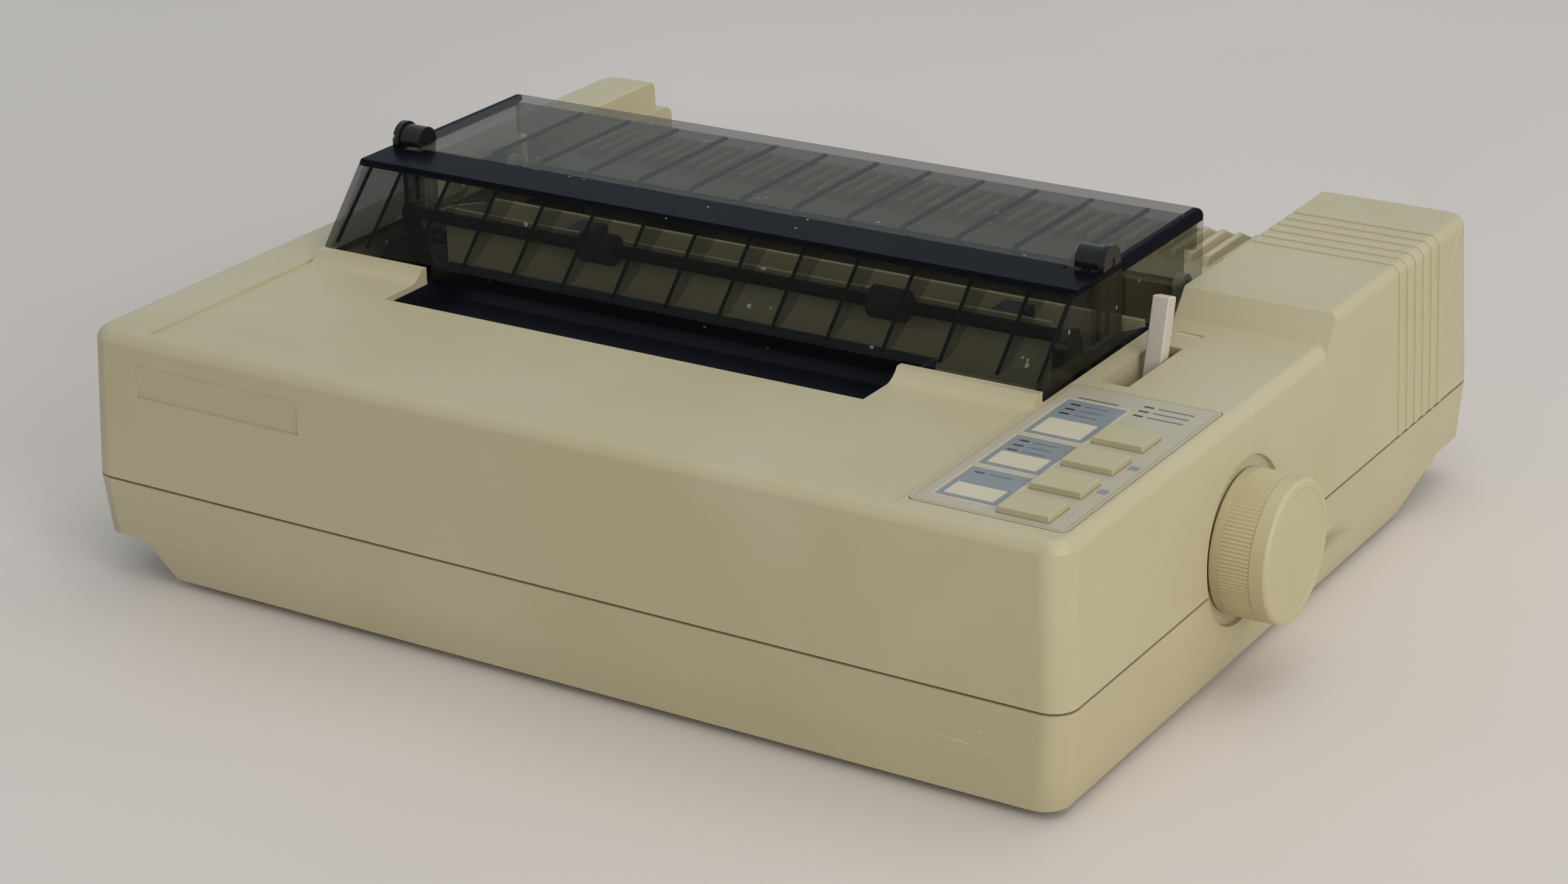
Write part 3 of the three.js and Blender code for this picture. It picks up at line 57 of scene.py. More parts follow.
BODY_OF = {n: body for body, ns in frame["record"]["behaviour"]["bodies"].items() for n in ns}
SLOT_OF = {row["node"]: row["material_slot"] for row in frame["record"]["subparts"]}


def node_mm(node):
    """A node's lowest and highest corners in the drawing's millimetres."""
    low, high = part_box(node)
    return [((v[0] - CASE_X) / MM, v[1] / MM, v[2] / MM) for v in (low, high)]


# ---- case sizes, in millimetres
LOW, HIGH = node_mm("lower_case")
HALF_W = HIGH[0]
HALF_D = HIGH[1]
FOOT = LOW[2]
SEAM = node_mm("upper_case")[0][2]
TRAY_TOP = SEAM - 0.95
CREASE = 17.8
CREASE_INSET = 1.5
PLINTH_INSET = 5.3
DECK = 96.4
DECK_UNDER = DECK - 3
HUMP = 106
WALL = 2.6
CORNER = 9
DRAFT = 0.043
DECK_EDGE = 4.5
HUMP_EDGE = 3.4
HUMP_X = (-172.4, 137.3)
HUMP_Y = 32
HUMP_SLOPE = 8
HUMP_LEAN = DRAFT * (HUMP - SEAM)
FALL_Y = HALF_D - 46.5
FALL_SLOPE = 0.5
FALL_X = HUMP_X[0] + 8
RIB_RISE = 3.6
CORNERS = ("front_left", "front_right", "rear_left", "rear_right")
GRIP_Y = (20, 58)
GRIP_RUN = 11
GRIP_DEPTH = 6
GRIP_TOP = 25.5
LEVER_SLOT = (143, 153.8, -36, 5.5)
SLOT_MARK = (145, 155, 17.5, 20.5)
BADGE_X, BADGE_Z = (-174.6, -100.7), (74, 86.5)
SWITCH_Y, SWITCH_Z = (99.8, 110.2), (50.2, 65.8)
INLET_X, INLET_Z = (-165, -137), (48, 68)
DATA_X, DATA_Z = (59.7, 132.3), (26.2, 37.8)

COVER_LOW, COVER_HIGH = node_mm("front_cover")
COVER_X = (COVER_LOW[0], COVER_HIGH[0])
COVER_FRONT = COVER_LOW[1]
COVER_SKIRT = 100.3
COVER_WALL = 2.4
CREST_Y = -36
COVER_TOP = 127.5
STRIP_REAR = -15.5
KNUCKLE_Y = -10
KNUCKLE_Z = 129
KNUCKLE_R = 5.5
HOOD_REAR = node_mm("rear_cover")[1][1]
HOOD_HINGE_Y = 55
HOOD_HINGE_Z = 100
EAR_R = 4.4
EAR_WIDTH = 3.6
HOOD_END = COVER_HIGH[1] + 0.6
EDGE_REACH = 4.2
SLOT_REAR = HOOD_REAR + 7
MOUTH_X = (-122.3, 80.5)
MOUTH_FRONT = -87
LIP_REAR = COVER_FRONT - 1.2
LIP_FRONT = LIP_REAR - 2.8
LIP_TOP = COVER_SKIRT - 0.3

KNOB_LOW, KNOB_HIGH = node_mm("platen_knob")
KNOB_Y = (KNOB_LOW[1] + KNOB_HIGH[1]) / 2
KNOB_Z = (KNOB_LOW[2] + KNOB_HIGH[2]) / 2
KNOB_R = (KNOB_HIGH[1] - KNOB_LOW[1]) / 2
DISH_X = KNOB_LOW[0] - 0.6
DISH_R = 29.5
PAD_R = DISH_R + 4.5

LABEL_LOW, LABEL_HIGH = node_mm("panel_label")
PANEL_BLOCKS = ((141.7, 163.2, -88, -55.7), (141.7, 163.2, -118, -91.5), (141.7, 163.2, -146, -121.5))
BUTTONS = ("button_1", "button_2", "button_3", "button_4")


# ---- solids drawn with bmesh
def box(x0, x1, y0, y1, z0, z1):
    bm = bmesh.new()
    bmesh.ops.create_cube(bm, size=1)
    bmesh.ops.scale(bm, vec=(x1 - x0, y1 - y0, z1 - z0), verts=bm.verts)
    bmesh.ops.translate(bm, vec=((x0 + x1) / 2, (y0 + y1) / 2, (z0 + z1) / 2), verts=bm.verts)
    return bm


def pushed_out(bm, face):
    """Extrudes a face. The old face stays only where it closes the far end of the solid."""
    joined = all(len(e.link_faces) > 1 for e in face.edges)
    made = bmesh.ops.extrude_face_region(bm, geom=[face])["geom"]
    if joined:
        bmesh.ops.delete(bm, geom=[face], context="FACES_ONLY")
    return next(g for g in made if isinstance(g, bmesh.types.BMFace))


def extend(bm, face, z, inset=0.0):
    """Pulls a level face to height z and moves its sides in, which keeps the corners' radius."""
    end = pushed_out(bm, face)
    centre_x = sum(v.co.x for v in end.verts) / len(end.verts)
    centre_y = sum(v.co.y for v in end.verts) / len(end.verts)
    for v in end.verts:
        v.co.z = z
        v.co.x += inset if v.co.x < centre_x else -inset
        v.co.y += inset if v.co.y < centre_y else -inset
    return end


def rounded_slab(x0, x1, y0, y1, z, radius, segments):
    """A level face with round corners, to be extended into a solid."""
    bm = bmesh.new()
    bmesh.ops.create_grid(bm, x_segments=1, y_segments=1, size=0.5)
    bmesh.ops.scale(bm, vec=(x1 - x0, y1 - y0, 1), verts=bm.verts)
    bmesh.ops.translate(bm, vec=((x0 + x1) / 2, (y0 + y1) / 2, z), verts=bm.verts)
    bmesh.ops.bevel(
        bm, geom=bm.verts[:], offset=radius, offset_type="OFFSET", segments=segments,
        profile=0.5, affect="VERTICES", material=-1,
    )
    bm.faces.ensure_lookup_table()
    return bm, bm.faces[0]


def rounded_block(x0, x1, y0, y1, z0, z1, radius, lean=0.0, edge=0.0, segments=8):
    """A block with round upright corners, leaning sides and a round top edge."""
    bm, face = rounded_slab(x0, x1, y0, y1, z0, radius, segments)
    extend(bm, face, z1, lean)
    if edge:
        round_edges(bm, lambda e: all(abs(v.co.z - z1) < 1e-4 for v in e.verts), edge, 6)
    bmesh.ops.recalc_face_normals(bm, faces=bm.faces)
    return bm


def block_about(grow, z0, z1, radius, lean, edge=0.0):
    """A rounded block on the case's outline, grown or shrunk on every side."""
    x, y = HALF_W + grow, HALF_D + grow
    return rounded_block(-x, x, -y, y, z0, z1, radius, lean, edge)


def round_edges(bm, wanted, radius, segments):
    """Rounds the edges that a test picks."""
    edges = [e for e in bm.edges if wanted(e)]
    bmesh.ops.bevel(
        bm, geom=edges, offset=radius, offset_type="OFFSET", segments=segments,
        profile=0.5, affect="EDGES", clamp_overlap=True, material=-1,
    )


def drawn_out(outline, reach):
    """A closed outline of corners, drawn out along a vector into a solid."""
    bm = bmesh.new()
    face = bm.faces.new([bm.verts.new(corner) for corner in outline])
    made = bmesh.ops.extrude_face_region(bm, geom=[face])["geom"]
    bmesh.ops.translate(bm, vec=reach, verts=[g for g in made if isinstance(g, bmesh.types.BMVert)])
    bmesh.ops.recalc_face_normals(bm, faces=bm.faces)
    return bm


def prism_x(points, x0, x1):
    return drawn_out([(x0, y, z) for y, z in points], (x1 - x0, 0, 0))


def prism_y(points, y0, y1):
    return drawn_out([(x, y0, z) for x, z in points], (0, y1 - y0, 0))


def prism_z(points, z0, z1):
    return drawn_out([(x, y, z0) for x, y in points], (0, 0, z1 - z0))


def turned_x(y, z, steps, segments):
    """A round solid about a line along X: steps is a list of (x, radius) from one end to the other."""
    bm = bmesh.new()
    first_x, first_r = steps[0]
    bmesh.ops.create_circle(bm, cap_ends=True, radius=first_r, segments=segments)
    bmesh.ops.rotate(bm, matrix=Matrix.Rotation(math.radians(90), 3, "Y"), verts=bm.verts)
    bmesh.ops.translate(bm, vec=(first_x, y, z), verts=bm.verts)
    bm.faces.ensure_lookup_table()
    face = bm.faces[0]
    radius_now = first_r
    for x, radius in steps[1:]:
        face = pushed_out(bm, face)
        ratio = radius / radius_now
        for v in face.verts:
            v.co = Vector((x, y + (v.co.y - y) * ratio, z + (v.co.z - z) * ratio))
        radius_now = radius
    bmesh.ops.recalc_face_normals(bm, faces=bm.faces)
    return bm


def rod_x(y, z, radius, x0, x1, segments=32):
    return turned_x(y, z, [(x0, radius), (x1, radius)], segments)


def rod_z(x, y, radius, z0, z1, segments=32):
    bm = bmesh.new()
    bmesh.ops.create_cone(
        bm, cap_ends=True, radius1=radius, radius2=radius, depth=z1 - z0, segments=segments
    )
    bmesh.ops.translate(bm, vec=(x, y, (z0 + z1) / 2), verts=bm.verts)
    return bm


def stadium(y, z_low, z_high, radius):
    """The outline of an ear: straight sides with a round top."""
    segments = 14
    arc = [math.pi * i / segments for i in range(segments + 1)]
    top = [(y + radius * math.cos(a), z_high + radius * math.sin(a)) for a in arc]
    return top + [(y - radius, z_low), (y + radius, z_low)]


def gathered(*forms):
    """Puts separate solids that don't touch into one bmesh."""
    bm = bmesh.new()
    for one in forms:
        mesh = bpy.data.meshes.new("gathered")
        one.to_mesh(mesh)
        one.free()
        bm.from_mesh(mesh)
        bpy.data.meshes.remove(mesh)
    return bm


# ---- from drawing to piece
def drawn(bm, name):
    """A bmesh as a named piece in the scene."""
    mesh = bpy.data.meshes.new(name)
    bm.to_mesh(mesh)
    bm.free()
    piece = bpy.data.objects.new(name, mesh)
    bpy.context.scene.collection.objects.link(piece)
    return piece


def from_mesh(mesh):
    bm = bmesh.new()
    bm.from_mesh(mesh)
    return bm


def split_off(piece, name, space):
    """Cuts what lies inside a space out of a piece and gives it back as a piece of its own."""
    part = drawn(from_mesh(piece.data), name)
    carve(part, "INTERSECT", space.copy())
    carve(piece, "DIFFERENCE", space)
    return part


def cut_form(form, operation, *forms):
    """A form after cuts by others, as a bmesh again."""
    held = drawn(form, "form")
    carve(held, operation, *forms)
    bm = from_mesh(held.data)
    bpy.data.objects.remove(held)
    return bm


def settle(piece):
    """Turns the piece's modifiers into its mesh."""
    graph = bpy.context.evaluated_depsgraph_get()
    mesh = bpy.data.meshes.new_from_object(piece.evaluated_get(graph), depsgraph=graph)
    old = piece.data
    piece.modifiers.clear()
    piece.data = mesh
    bpy.data.meshes.remove(old)


def carve(piece, operation, *forms):
    """Adds, takes off or keeps the part shared with one form after another."""
    for bm in forms:
        tool = drawn(bm, "tool")
        step = piece.modifiers.new("carve", "BOOLEAN")
        step.solver = "EXACT"
        step.operation = operation
        step.object = tool
        bpy.context.view_layer.update()
        settle(piece)
        bpy.data.objects.remove(tool)


def soften(piece, width, segments=2, angle=38):
    """Breaks the sharp edges by a small radius, as a mould does."""
    bm = from_mesh(piece.data)
    bmesh.ops.remove_doubles(bm, verts=bm.verts, dist=1e-4)
    bmesh.ops.dissolve_degenerate(bm, edges=bm.edges, dist=1e-4)
    bmesh.ops.dissolve_limit(bm, verts=bm.verts, edges=bm.edges, angle_limit=math.radians(0.6))
    bm.to_mesh(piece.data)
    bm.free()
    if width:
        bevel = piece.modifiers.new("edges", "BEVEL")
        bevel.width = width
        bevel.segments = segments
        bevel.limit_method = "ANGLE"
        bevel.angle_limit = math.radians(angle)
        bevel.use_clamp_overlap = True
        bevel.miter_outer = "MITER_ARC"
    bpy.context.view_layer.update()
    settle(piece)
    piece.data.shade_smooth()
    piece.data.set_sharp_from_angle(angle=math.radians(35))


def weigh_normals(piece):
    weighted = piece.modifiers.new("normals", "WEIGHTED_NORMAL")
    weighted.keep_sharp = True
    weighted.weight = 80
    bpy.context.view_layer.update()
    settle(piece)


def finish_piece(piece, material, body, replaced=()):
    """Moves the drawing into the frame and hangs the piece on its body."""
    weigh_normals(piece)
    piece.data.transform(Matrix.Translation((CASE_X, 0, 0)) @ Matrix.Scale(MM, 4))
    piece.data.materials.clear()
    piece.data.materials.append(material)
    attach(piece, body)
    if replaced:
        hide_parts(*replaced)


def from_node(node, name, width, segments=2):
    """A copy of a node's own shape with its edges broken."""
    piece = bpy.data.objects.new(name, frame["nodes"][node].data.copy())
    bpy.context.scene.collection.objects.link(piece)
    piece.data.transform(Matrix.Scale(1 / MM, 4) @ Matrix.Translation((-CASE_X, 0, 0)))
    soften(piece, width, segments)
    return piece


# ---- materials
def shader(name):
    material = bpy.data.materials.new(name)
    material.use_nodes = True
    nodes = material.node_tree.nodes
    return material, nodes, material.node_tree.links, nodes["Principled BSDF"]


def srgb(*shades):
    """A colour as it looks on screen, 0 to 255, in the shader's linear values."""
    parts = [shade / 255 for shade in shades]
    return (*(c / 12.92 if c <= 0.04045 else ((c + 0.055) / 1.055) ** 2.4 for c in parts), 1.0)


def noise(nodes, links, scale, detail=2.0, roughness=0.5):
    place = nodes.get("Place")
    if place is None:
        place = nodes.new("ShaderNodeTexCoord")
        place.name = "Place"
    texture = nodes.new("ShaderNodeTexNoise")
    texture.inputs["Scale"].default_value = scale
    texture.inputs["Detail"].default_value = detail
    texture.inputs["Roughness"].default_value = roughness
    links.new(place.outputs["Object"], texture.inputs["Vector"])
    return texture.outputs["Fac"]


def spread(nodes, links, value, low, high, to_low=0.0, to_high=1.0):
    """Stretches a value's range from low and high to new ends."""
    step = nodes.new("ShaderNodeMapRange")
    step.inputs["From Min"].default_value = low
    step.inputs["From Max"].default_value = high
    step.inputs["To Min"].default_value = to_low
    step.inputs["To Max"].default_value = to_high
    links.new(value, step.inputs["Value"])
    return step.outputs["Result"]


def blended(nodes, links, factor, first, second):
    mix = nodes.new("ShaderNodeMix")
    mix.data_type = "RGBA"
    links.new(factor, mix.inputs["Factor"])
    for socket, value in ((mix.inputs["A"], first), (mix.inputs["B"], second)):
        if isinstance(value, tuple):
            socket.default_value = value
        else:
            links.new(value, socket)
    return mix.outputs["Result"]


def grain(nodes, links, bsdf, scale, depth, strength=1.0):
    bump = nodes.new("ShaderNodeBump")
    bump.inputs["Distance"].default_value = depth
    bump.inputs["Strength"].default_value = strength
    links.new(noise(nodes, links, scale, 3.0, 0.6), bump.inputs["Height"])
    links.new(bump.outputs["Normal"], bsdf.inputs["Normal"])


def moulded(name, colour, aged, roughness=0.46, grain_scale=1500, grain_depth=0.00005):
    """Moulded plastic: a fine grain, and a colour that ages in broad soft patches."""
    material, nodes, links, bsdf = shader(name)
    patches = spread(nodes, links, noise(nodes, links, 14, 2.0), 0.35, 0.65)
    links.new(blended(nodes, links, patches, colour, aged), bsdf.inputs["Base Color"])
    rough = spread(nodes, links, noise(nodes, links, 60, 3.0), 0.3, 0.7, roughness - 0.05, roughness + 0.06)
    links.new(rough, bsdf.inputs["Roughness"])
    grain(nodes, links, bsdf, grain_scale, grain_depth)
    return material


def scuffed(material, place, size, colour):
    """Adds a patch of fine pale scratches around a place."""
    nodes, links = material.node_tree.nodes, material.node_tree.links
    bsdf = nodes["Principled BSDF"]
    below = bsdf.inputs["Base Color"].links[0].from_socket
    shift = nodes.new("ShaderNodeVectorMath")
    shift.operation = "DISTANCE"
    shift.inputs[1].default_value = place
    links.new(nodes["Place"].outputs["Object"], shift.inputs[0])
    near = spread(nodes, links, shift.outputs["Value"], size, size * 0.2)
    turn = nodes.new("ShaderNodeMapping")
    turn.inputs["Rotation"].default_value = (0.0, 0.9, 0.4)
    turn.inputs["Scale"].default_value = (60, 400, 900)
    links.new(nodes["Place"].outputs["Object"], turn.inputs["Vector"])
    streaks = nodes.new("ShaderNodeTexNoise")
    streaks.inputs["Scale"].default_value = 1.0
    streaks.inputs["Detail"].default_value = 4.0
    links.new(turn.outputs["Vector"], streaks.inputs["Vector"])
    lines = spread(nodes, links, streaks.outputs["Fac"], 0.6, 0.68)
    both = nodes.new("ShaderNodeMath")
    both.operation = "MULTIPLY"
    links.new(near, both.inputs[0])
    links.new(lines, both.inputs[1])
    links.new(blended(nodes, links, both.outputs["Value"], below, colour), bsdf.inputs["Base Color"])
    return material


def smoked(name, colour, alpha, roughness, gloss):
    """Clear smoked plastic with a little dust on it."""
    material, nodes, links, bsdf = shader(name)
    specks = spread(nodes, links, noise(nodes, links, 210, 1.0), 0.775, 0.8)
    links.new(blended(nodes, links, specks, colour, srgb(190, 190, 180)), bsdf.inputs["Base Color"])
    haze = spread(nodes, links, noise(nodes, links, 35, 3.0), 0.3, 0.75, roughness, roughness + 0.1)
    links.new(haze, bsdf.inputs["Roughness"])
    bsdf.inputs["Alpha"].default_value = alpha
    bsdf.inputs["IOR"].default_value = 1.5
    bsdf.inputs["Specular IOR Level"].default_value = gloss
    grain(nodes, links, bsdf, 25, 0.00012, 0.5)
    return material


def metal(name, colour, roughness, streak=(20, 900, 900)):
    """Worked metal with streaks along X."""
    material, nodes, links, bsdf = shader(name)
    place = nodes.new("ShaderNodeTexCoord")
    stretch = nodes.new("ShaderNodeMapping")
    stretch.inputs["Scale"].default_value = streak
    links.new(place.outputs["Object"], stretch.inputs["Vector"])
    lines = nodes.new("ShaderNodeTexNoise")
    lines.inputs["Scale"].default_value = 1.0
    links.new(stretch.outputs["Vector"], lines.inputs["Vector"])
    rough = spread(nodes, links, lines.outputs["Fac"], 0.3, 0.7, roughness - 0.08, roughness + 0.1)
    links.new(rough, bsdf.inputs["Roughness"])
    darker = tuple(c * 0.75 for c in colour[:3]) + (1.0,)
    links.new(blended(nodes, links, lines.outputs["Fac"], colour, darker), bsdf.inputs["Base Color"])
    bsdf.inputs["Metallic"].default_value = 1.0
    return material


FINE = (2600, 0.00002)
case_plastic = moulded("case_plastic", srgb(192, 182, 148), srgb(187, 176, 140))
knob_plastic = moulded("knob_plastic", srgb(194, 184, 146), srgb(190, 179, 139), 0.34)
button_plastic = moulded("button_plastic", srgb(188, 179, 142), srgb(183, 173, 134), 0.45, 2400, 0.00002)
lever_plastic = moulded("lever_plastic", srgb(206, 196, 180), srgb(200, 189, 172), 0.4, 2400, 0.00002)
black_plastic = moulded("black_plastic", srgb(26, 26, 27), srgb(31, 31, 31), 0.45)
shield_plastic = moulded("shield_plastic", srgb(27, 29, 36), srgb(23, 25, 32), 0.3, 1500, 0.00002)
inner_plastic = moulded("inner_plastic", srgb(226, 216, 168), srgb(218, 207, 158), 0.5)
white_plastic = moulded("white_plastic", srgb(222, 219, 208), srgb(212, 208, 194), 0.4)
panel_film = moulded("panel_film", srgb(184, 176, 154), srgb(179, 170, 147), 0.42, *FINE)
print_blue = moulded("print_blue", srgb(133, 140, 142), srgb(127, 135, 138), 0.45, *FINE)
print_pale = moulded("print_pale", srgb(208, 199, 172), srgb(202, 192, 164), 0.45, *FINE)
print_grey = moulded("print_grey", srgb(104, 108, 108), srgb(98, 102, 102), 0.45, *FINE)
# Painted seam shade: a yellow-brown line that stands in for the shadow in the seam around the panel's film.
painted_seam_shade = moulded("painted_seam_shade", srgb(176, 158, 112), srgb(168, 149, 102), 0.5, *FINE)
lamp_window = moulded("lamp_window", srgb(58, 50, 44), srgb(50, 44, 40), 0.25, 2600, 0.00001)
rubber = moulded("rubber", srgb(24, 24, 24), srgb(32, 31, 30), 0.75, 1800, 0.00008)
board_green = moulded("board_green", srgb(46, 86, 56), srgb(40, 78, 50), 0.4)
steel = metal("steel", srgb(176, 177, 180), 0.28)
dark_steel = metal("dark_steel", srgb(40, 38, 35), 0.55)
zinc_sheet = metal("zinc_sheet", srgb(186, 187, 182), 0.42, (150, 150, 150))
head_metal = metal("head_metal", srgb(92, 93, 97), 0.45, (300, 300, 300))
smoke = smoked("smoke", srgb(50, 50, 40), 0.42, 0.1, 0.2)
smoke_end = smoked("smoke_end", srgb(60, 57, 38), 0.27, 0.12, 0.2)
smoke_front = smoked("smoke_front", srgb(22, 20, 11), 0.28, 0.09, 0.2)
smoke_dense = smoked("smoke_dense", srgb(17, 17, 13), 0.5, 0.09, 0.2)
# Near-opaque dark smoke. On the front cover's crest it is painted shade: its dark tint stands in for the
# shadow under the crest band. It also darkens the fin roots, the ribs under the knuckles and the hood's
# thick corners.
dark_smoke_and_shade = smoked("dark_smoke_and_shade", srgb(14, 16, 22), 0.96, 0.16, 0.013)
smoke_fin = smoked("smoke_fin", srgb(12, 12, 8), 0.24, 0.2, 0.2)
smoke_rib = smoked("smoke_rib", srgb(16, 18, 18), 0.8, 0.2, 0.2)
smoke_brown = smoked("smoke_brown", srgb(27, 24, 20), 0.94, 0.2, 0.3)

case_plastic = scuffed(case_plastic, (CASE_X + 0.1625, -0.1655, 0.0265), 0.013, srgb(214, 207, 180))
case_plastic = scuffed(case_plastic, (CASE_X - 0.1290, -0.1645, 0.0885), 0.007, srgb(212, 205, 178))
shield_plastic.node_tree.nodes["Principled BSDF"].inputs["Specular IOR Level"].default_value = 0.12

SLOT_MATERIAL = {
    "case_plastic": case_plastic, "button_plastic": button_plastic, "smoked_plastic": smoke,
    "panel_film": panel_film, "lever_plastic": lever_plastic, "black_plastic": black_plastic,
    "white_plastic": white_plastic, "rubber": rubber, "steel": steel, "zinc_sheet": zinc_sheet,
    "head_metal": head_metal, "board": board_green,
}


# ---- upper case
def hump_form(inner_x):
    """A hump's ramp and top, to be trimmed by the case's own sides."""
    above = HUMP + 0.03
    inner = abs(inner_x)
    points = [(28, DECK - 20), (28, DECK - 6), (HUMP_Y, DECK), (HUMP_Y + HUMP_SLOPE, above),
              (HALF_D + 20, above), (HALF_D + 20, DECK - 20)]
    bm = prism_x(points, -HALF_W - 20, -inner)

    def top_edge(e):
        ys, zs = [v.co.y for v in e.verts], [v.co.z for v in e.verts]
        along_front = min(zs) > above - 0.1 and max(ys) < HUMP_Y + HUMP_SLOPE + 0.1
        beside = all(abs(v.co.x + inner) < 0.01 for v in e.verts)
        return along_front or (beside and min(zs) > DECK - 0.1 and min(ys) < HALF_D)

    round_edges(bm, top_edge, 1.8, 4)
    if inner_x > 0:
        bmesh.ops.scale(bm, vec=(-1, 1, 1), verts=bm.verts)
    bmesh.ops.recalc_face_normals(bm, faces=bm.faces)
    return bm


def dish_form():
    """The round recess behind the knob, which flares out into the side wall."""
    flare = [(DISH_X, DISH_R - 1.2), (DISH_X + 0.35, DISH_R - 0.35), (DISH_X + 1.2, DISH_R)]
    for i in range(1, 6):
        angle = math.radians(16 * i)
        flare.append((DISH_X + 1.2 + 3.2 * math.sin(angle), DISH_R + 3.2 * (1 - math.cos(angle))))
    flare.append((HALF_W + 5, DISH_R + 8))
    return turned_x(KNOB_Y, KNOB_Z, flare, 72)


def clipped(bm, z, keep_above):
    """What stands above or below a level, closed again at the cut."""
    everything = bm.verts[:] + bm.edges[:] + bm.faces[:]
    bmesh.ops.bisect_plane(
        bm, geom=everything, plane_co=(0, 0, z), plane_no=(0, 0, 1),
        clear_outer=not keep_above, clear_inner=keep_above,
    )
    bmesh.ops.holes_fill(bm, edges=[e for e in bm.edges if e.is_boundary])
    bmesh.ops.recalc_face_normals(bm, faces=bm.faces)
    return bm


def fall_at(level, y):
    """The height of a surface that leaves the deck's level where the rear fall starts."""
    return level - FALL_SLOPE * (y - FALL_Y)


def fall_form(level, grow=0.0):
    """What is taken off the rear deck between the humps, or off the hollow under it."""
    past = HALF_D + 20
    points = [(FALL_Y, level), (past, fall_at(level, past)), (past, HUMP + 20), (FALL_Y, HUMP + 20)]
    return prism_x(points, FALL_X - grow, HUMP_X[1] + grow)


def cover_opening():
    """The opening under both covers, which is narrower in the mouth in front of them."""
    side = 1.2
    left, right = COVER_X[0] - side, COVER_X[1] + side
    points = [(left, LIP_REAR), (MOUTH_X[0], LIP_REAR), (MOUTH_X[0], MOUTH_FRONT), (MOUTH_X[1], MOUTH_FRONT),
              (MOUTH_X[1], LIP_REAR), (right, LIP_REAR), (right, SLOT_REAR), (left, SLOT_REAR)]
    return prism_z(points, DECK_UNDER - 6, HUMP + 5)


def lip_form(x0, x1):
    """A low kerb in front of a cover, which sweeps up out of the deck."""
    low = DECK - 0.8
    rise = LIP_TOP - low
    reach = 7.0
    sweep = [(LIP_FRONT - reach * (1 - t) ** 1.2, low + rise * t ** 1.7) for t in (i / 8 for i in range(9))]
    points = [(sweep[0][0], DECK_UNDER + 0.5), *sweep, (LIP_REAR, LIP_TOP), (LIP_REAR, DECK_UNDER + 0.5)]
    return prism_x(points, x0, x1)


def ear_form(x):
    """An ear for the hood's hinge pin, on an arm from the deck's rear edge."""
    foot = DECK_UNDER - 3
    ear = prism_x(stadium(HOOD_HINGE_Y, foot, HOOD_HINGE_Z, EAR_R), x, x + EAR_WIDTH)
    return cut_form(ear, "UNION", box(x, x + EAR_WIDTH, HOOD_HINGE_Y, SLOT_REAR + 6, foot, DECK_UNDER + 1))


def button_holes(margin):
    """A cutter around each button's cap, whose flange reaches 1 mm further under the deck."""
    forms = []
    inset = 1 - margin
    for button in BUTTONS:
        (x0, y0, _), (x1, y1, _) = node_mm(button)
        forms.append(box(x0 + inset, x1 - inset, y0 + inset, y1 - inset, DECK_UNDER - 5, HUMP))
    return gathered(*forms)


def upper_case():
    """The deck and its humps, hollow inside, with all that is cut into it or stands on it."""
    drop = 6
    grow = DRAFT * drop
    deck_lean = DRAFT * (DECK - SEAM) + grow
    case = drawn(block_about(grow + 0.03, SEAM - drop, DECK, CORNER, deck_lean, DECK_EDGE), "case_top")
    carve(case, "UNION", hump_form(HUMP_X[1]), hump_form(HUMP_X[0]))
    carve(case, "INTERSECT", block_about(0, SEAM, HUMP, CORNER, HUMP_LEAN, HUMP_EDGE))
    carve(case, "DIFFERENCE", fall_form(DECK))
    hollow_lean = DRAFT * (DECK_UNDER - SEAM) + grow
    hollow = block_about(grow - WALL, SEAM - drop, DECK_UNDER, CORNER - WALL, hollow_lean)
    carve(case, "DIFFERENCE", cut_form(hollow, "DIFFERENCE", fall_form(DECK_UNDER, WALL)))
    side = HALF_W - 2 * WALL - 1
    inside = [(HUMP_Y + 3, DECK - 10), (HUMP_Y + 3, DECK_UNDER), (HUMP_Y + 11, HUMP - WALL),
              (HALF_D - 6, HUMP - WALL), (HALF_D - 6, DECK - 10)]
    carve(
        case, "DIFFERENCE",
        gathered(prism_x(inside, HUMP_X[1] + WALL, side), prism_x(inside, -side, HUMP_X[0] - WALL)),
        box(HUMP_X[0], LABEL_LOW[0] - 1.3, -HALF_D + 8.5, LIP_FRONT - 2.2, DECK - 0.8, HUMP + 9),
        cover_opening(),
    )
    left_lip = lip_form(COVER_X[0] - 0.2, MOUTH_X[0])
    carve(case, "UNION", gathered(left_lip, lip_form(MOUTH_X[1], LABEL_LOW[0] - 1.25)))
    pad = rod_x(KNOB_Y, KNOB_Z, PAD_R, DISH_X - WALL, HALF_W - 1.9, 72)
    carve(case, "UNION", clipped(pad, SEAM, True))
    gap = 0.3
    label_seat = rounded_block(
        LABEL_LOW[0] - gap, LABEL_HIGH[0] + gap, LABEL_LOW[1] - gap, LABEL_HIGH[1] + gap,
        LABEL_LOW[2] - gap, HUMP, 2.3, segments=4,
    )
    slot = box(*LEVER_SLOT, DECK_UNDER - 5, HUMP)
    mark = box(*SLOT_MARK, DECK - 0.5, DECK + 0.8)
    carve(case, "DIFFERENCE", dish_form(), gathered(label_seat, slot, mark), gathered(
        button_holes(0.4),
        rod_x(KNOB_Y, KNOB_Z, 8, DISH_X - 8, DISH_X + 1),
        box(*BADGE_X, -HALF_D - 5, -HALF_D + 2.15, *BADGE_Z),
        box(-HALF_W - 5, -HALF_W + 9, *SWITCH_Y, *SWITCH_Z),
        box(*INLET_X, HALF_D - 9, HALF_D + 5, *INLET_Z),
    ))
    inset = COVER_WALL + 0.3
    carve(case, "UNION", ear_form(COVER_X[0] + inset), ear_form(COVER_X[1] - inset - EAR_WIDTH))
    carve(case, "DIFFERENCE", rod_x(HOOD_HINGE_Y, HOOD_HINGE_Z, 2.3, COVER_X[0] - 1, COVER_X[1] + 1))
    soften(case, 0.45, 2)
    finish_piece(case, case_plastic, "chassis", ("upper_case",))


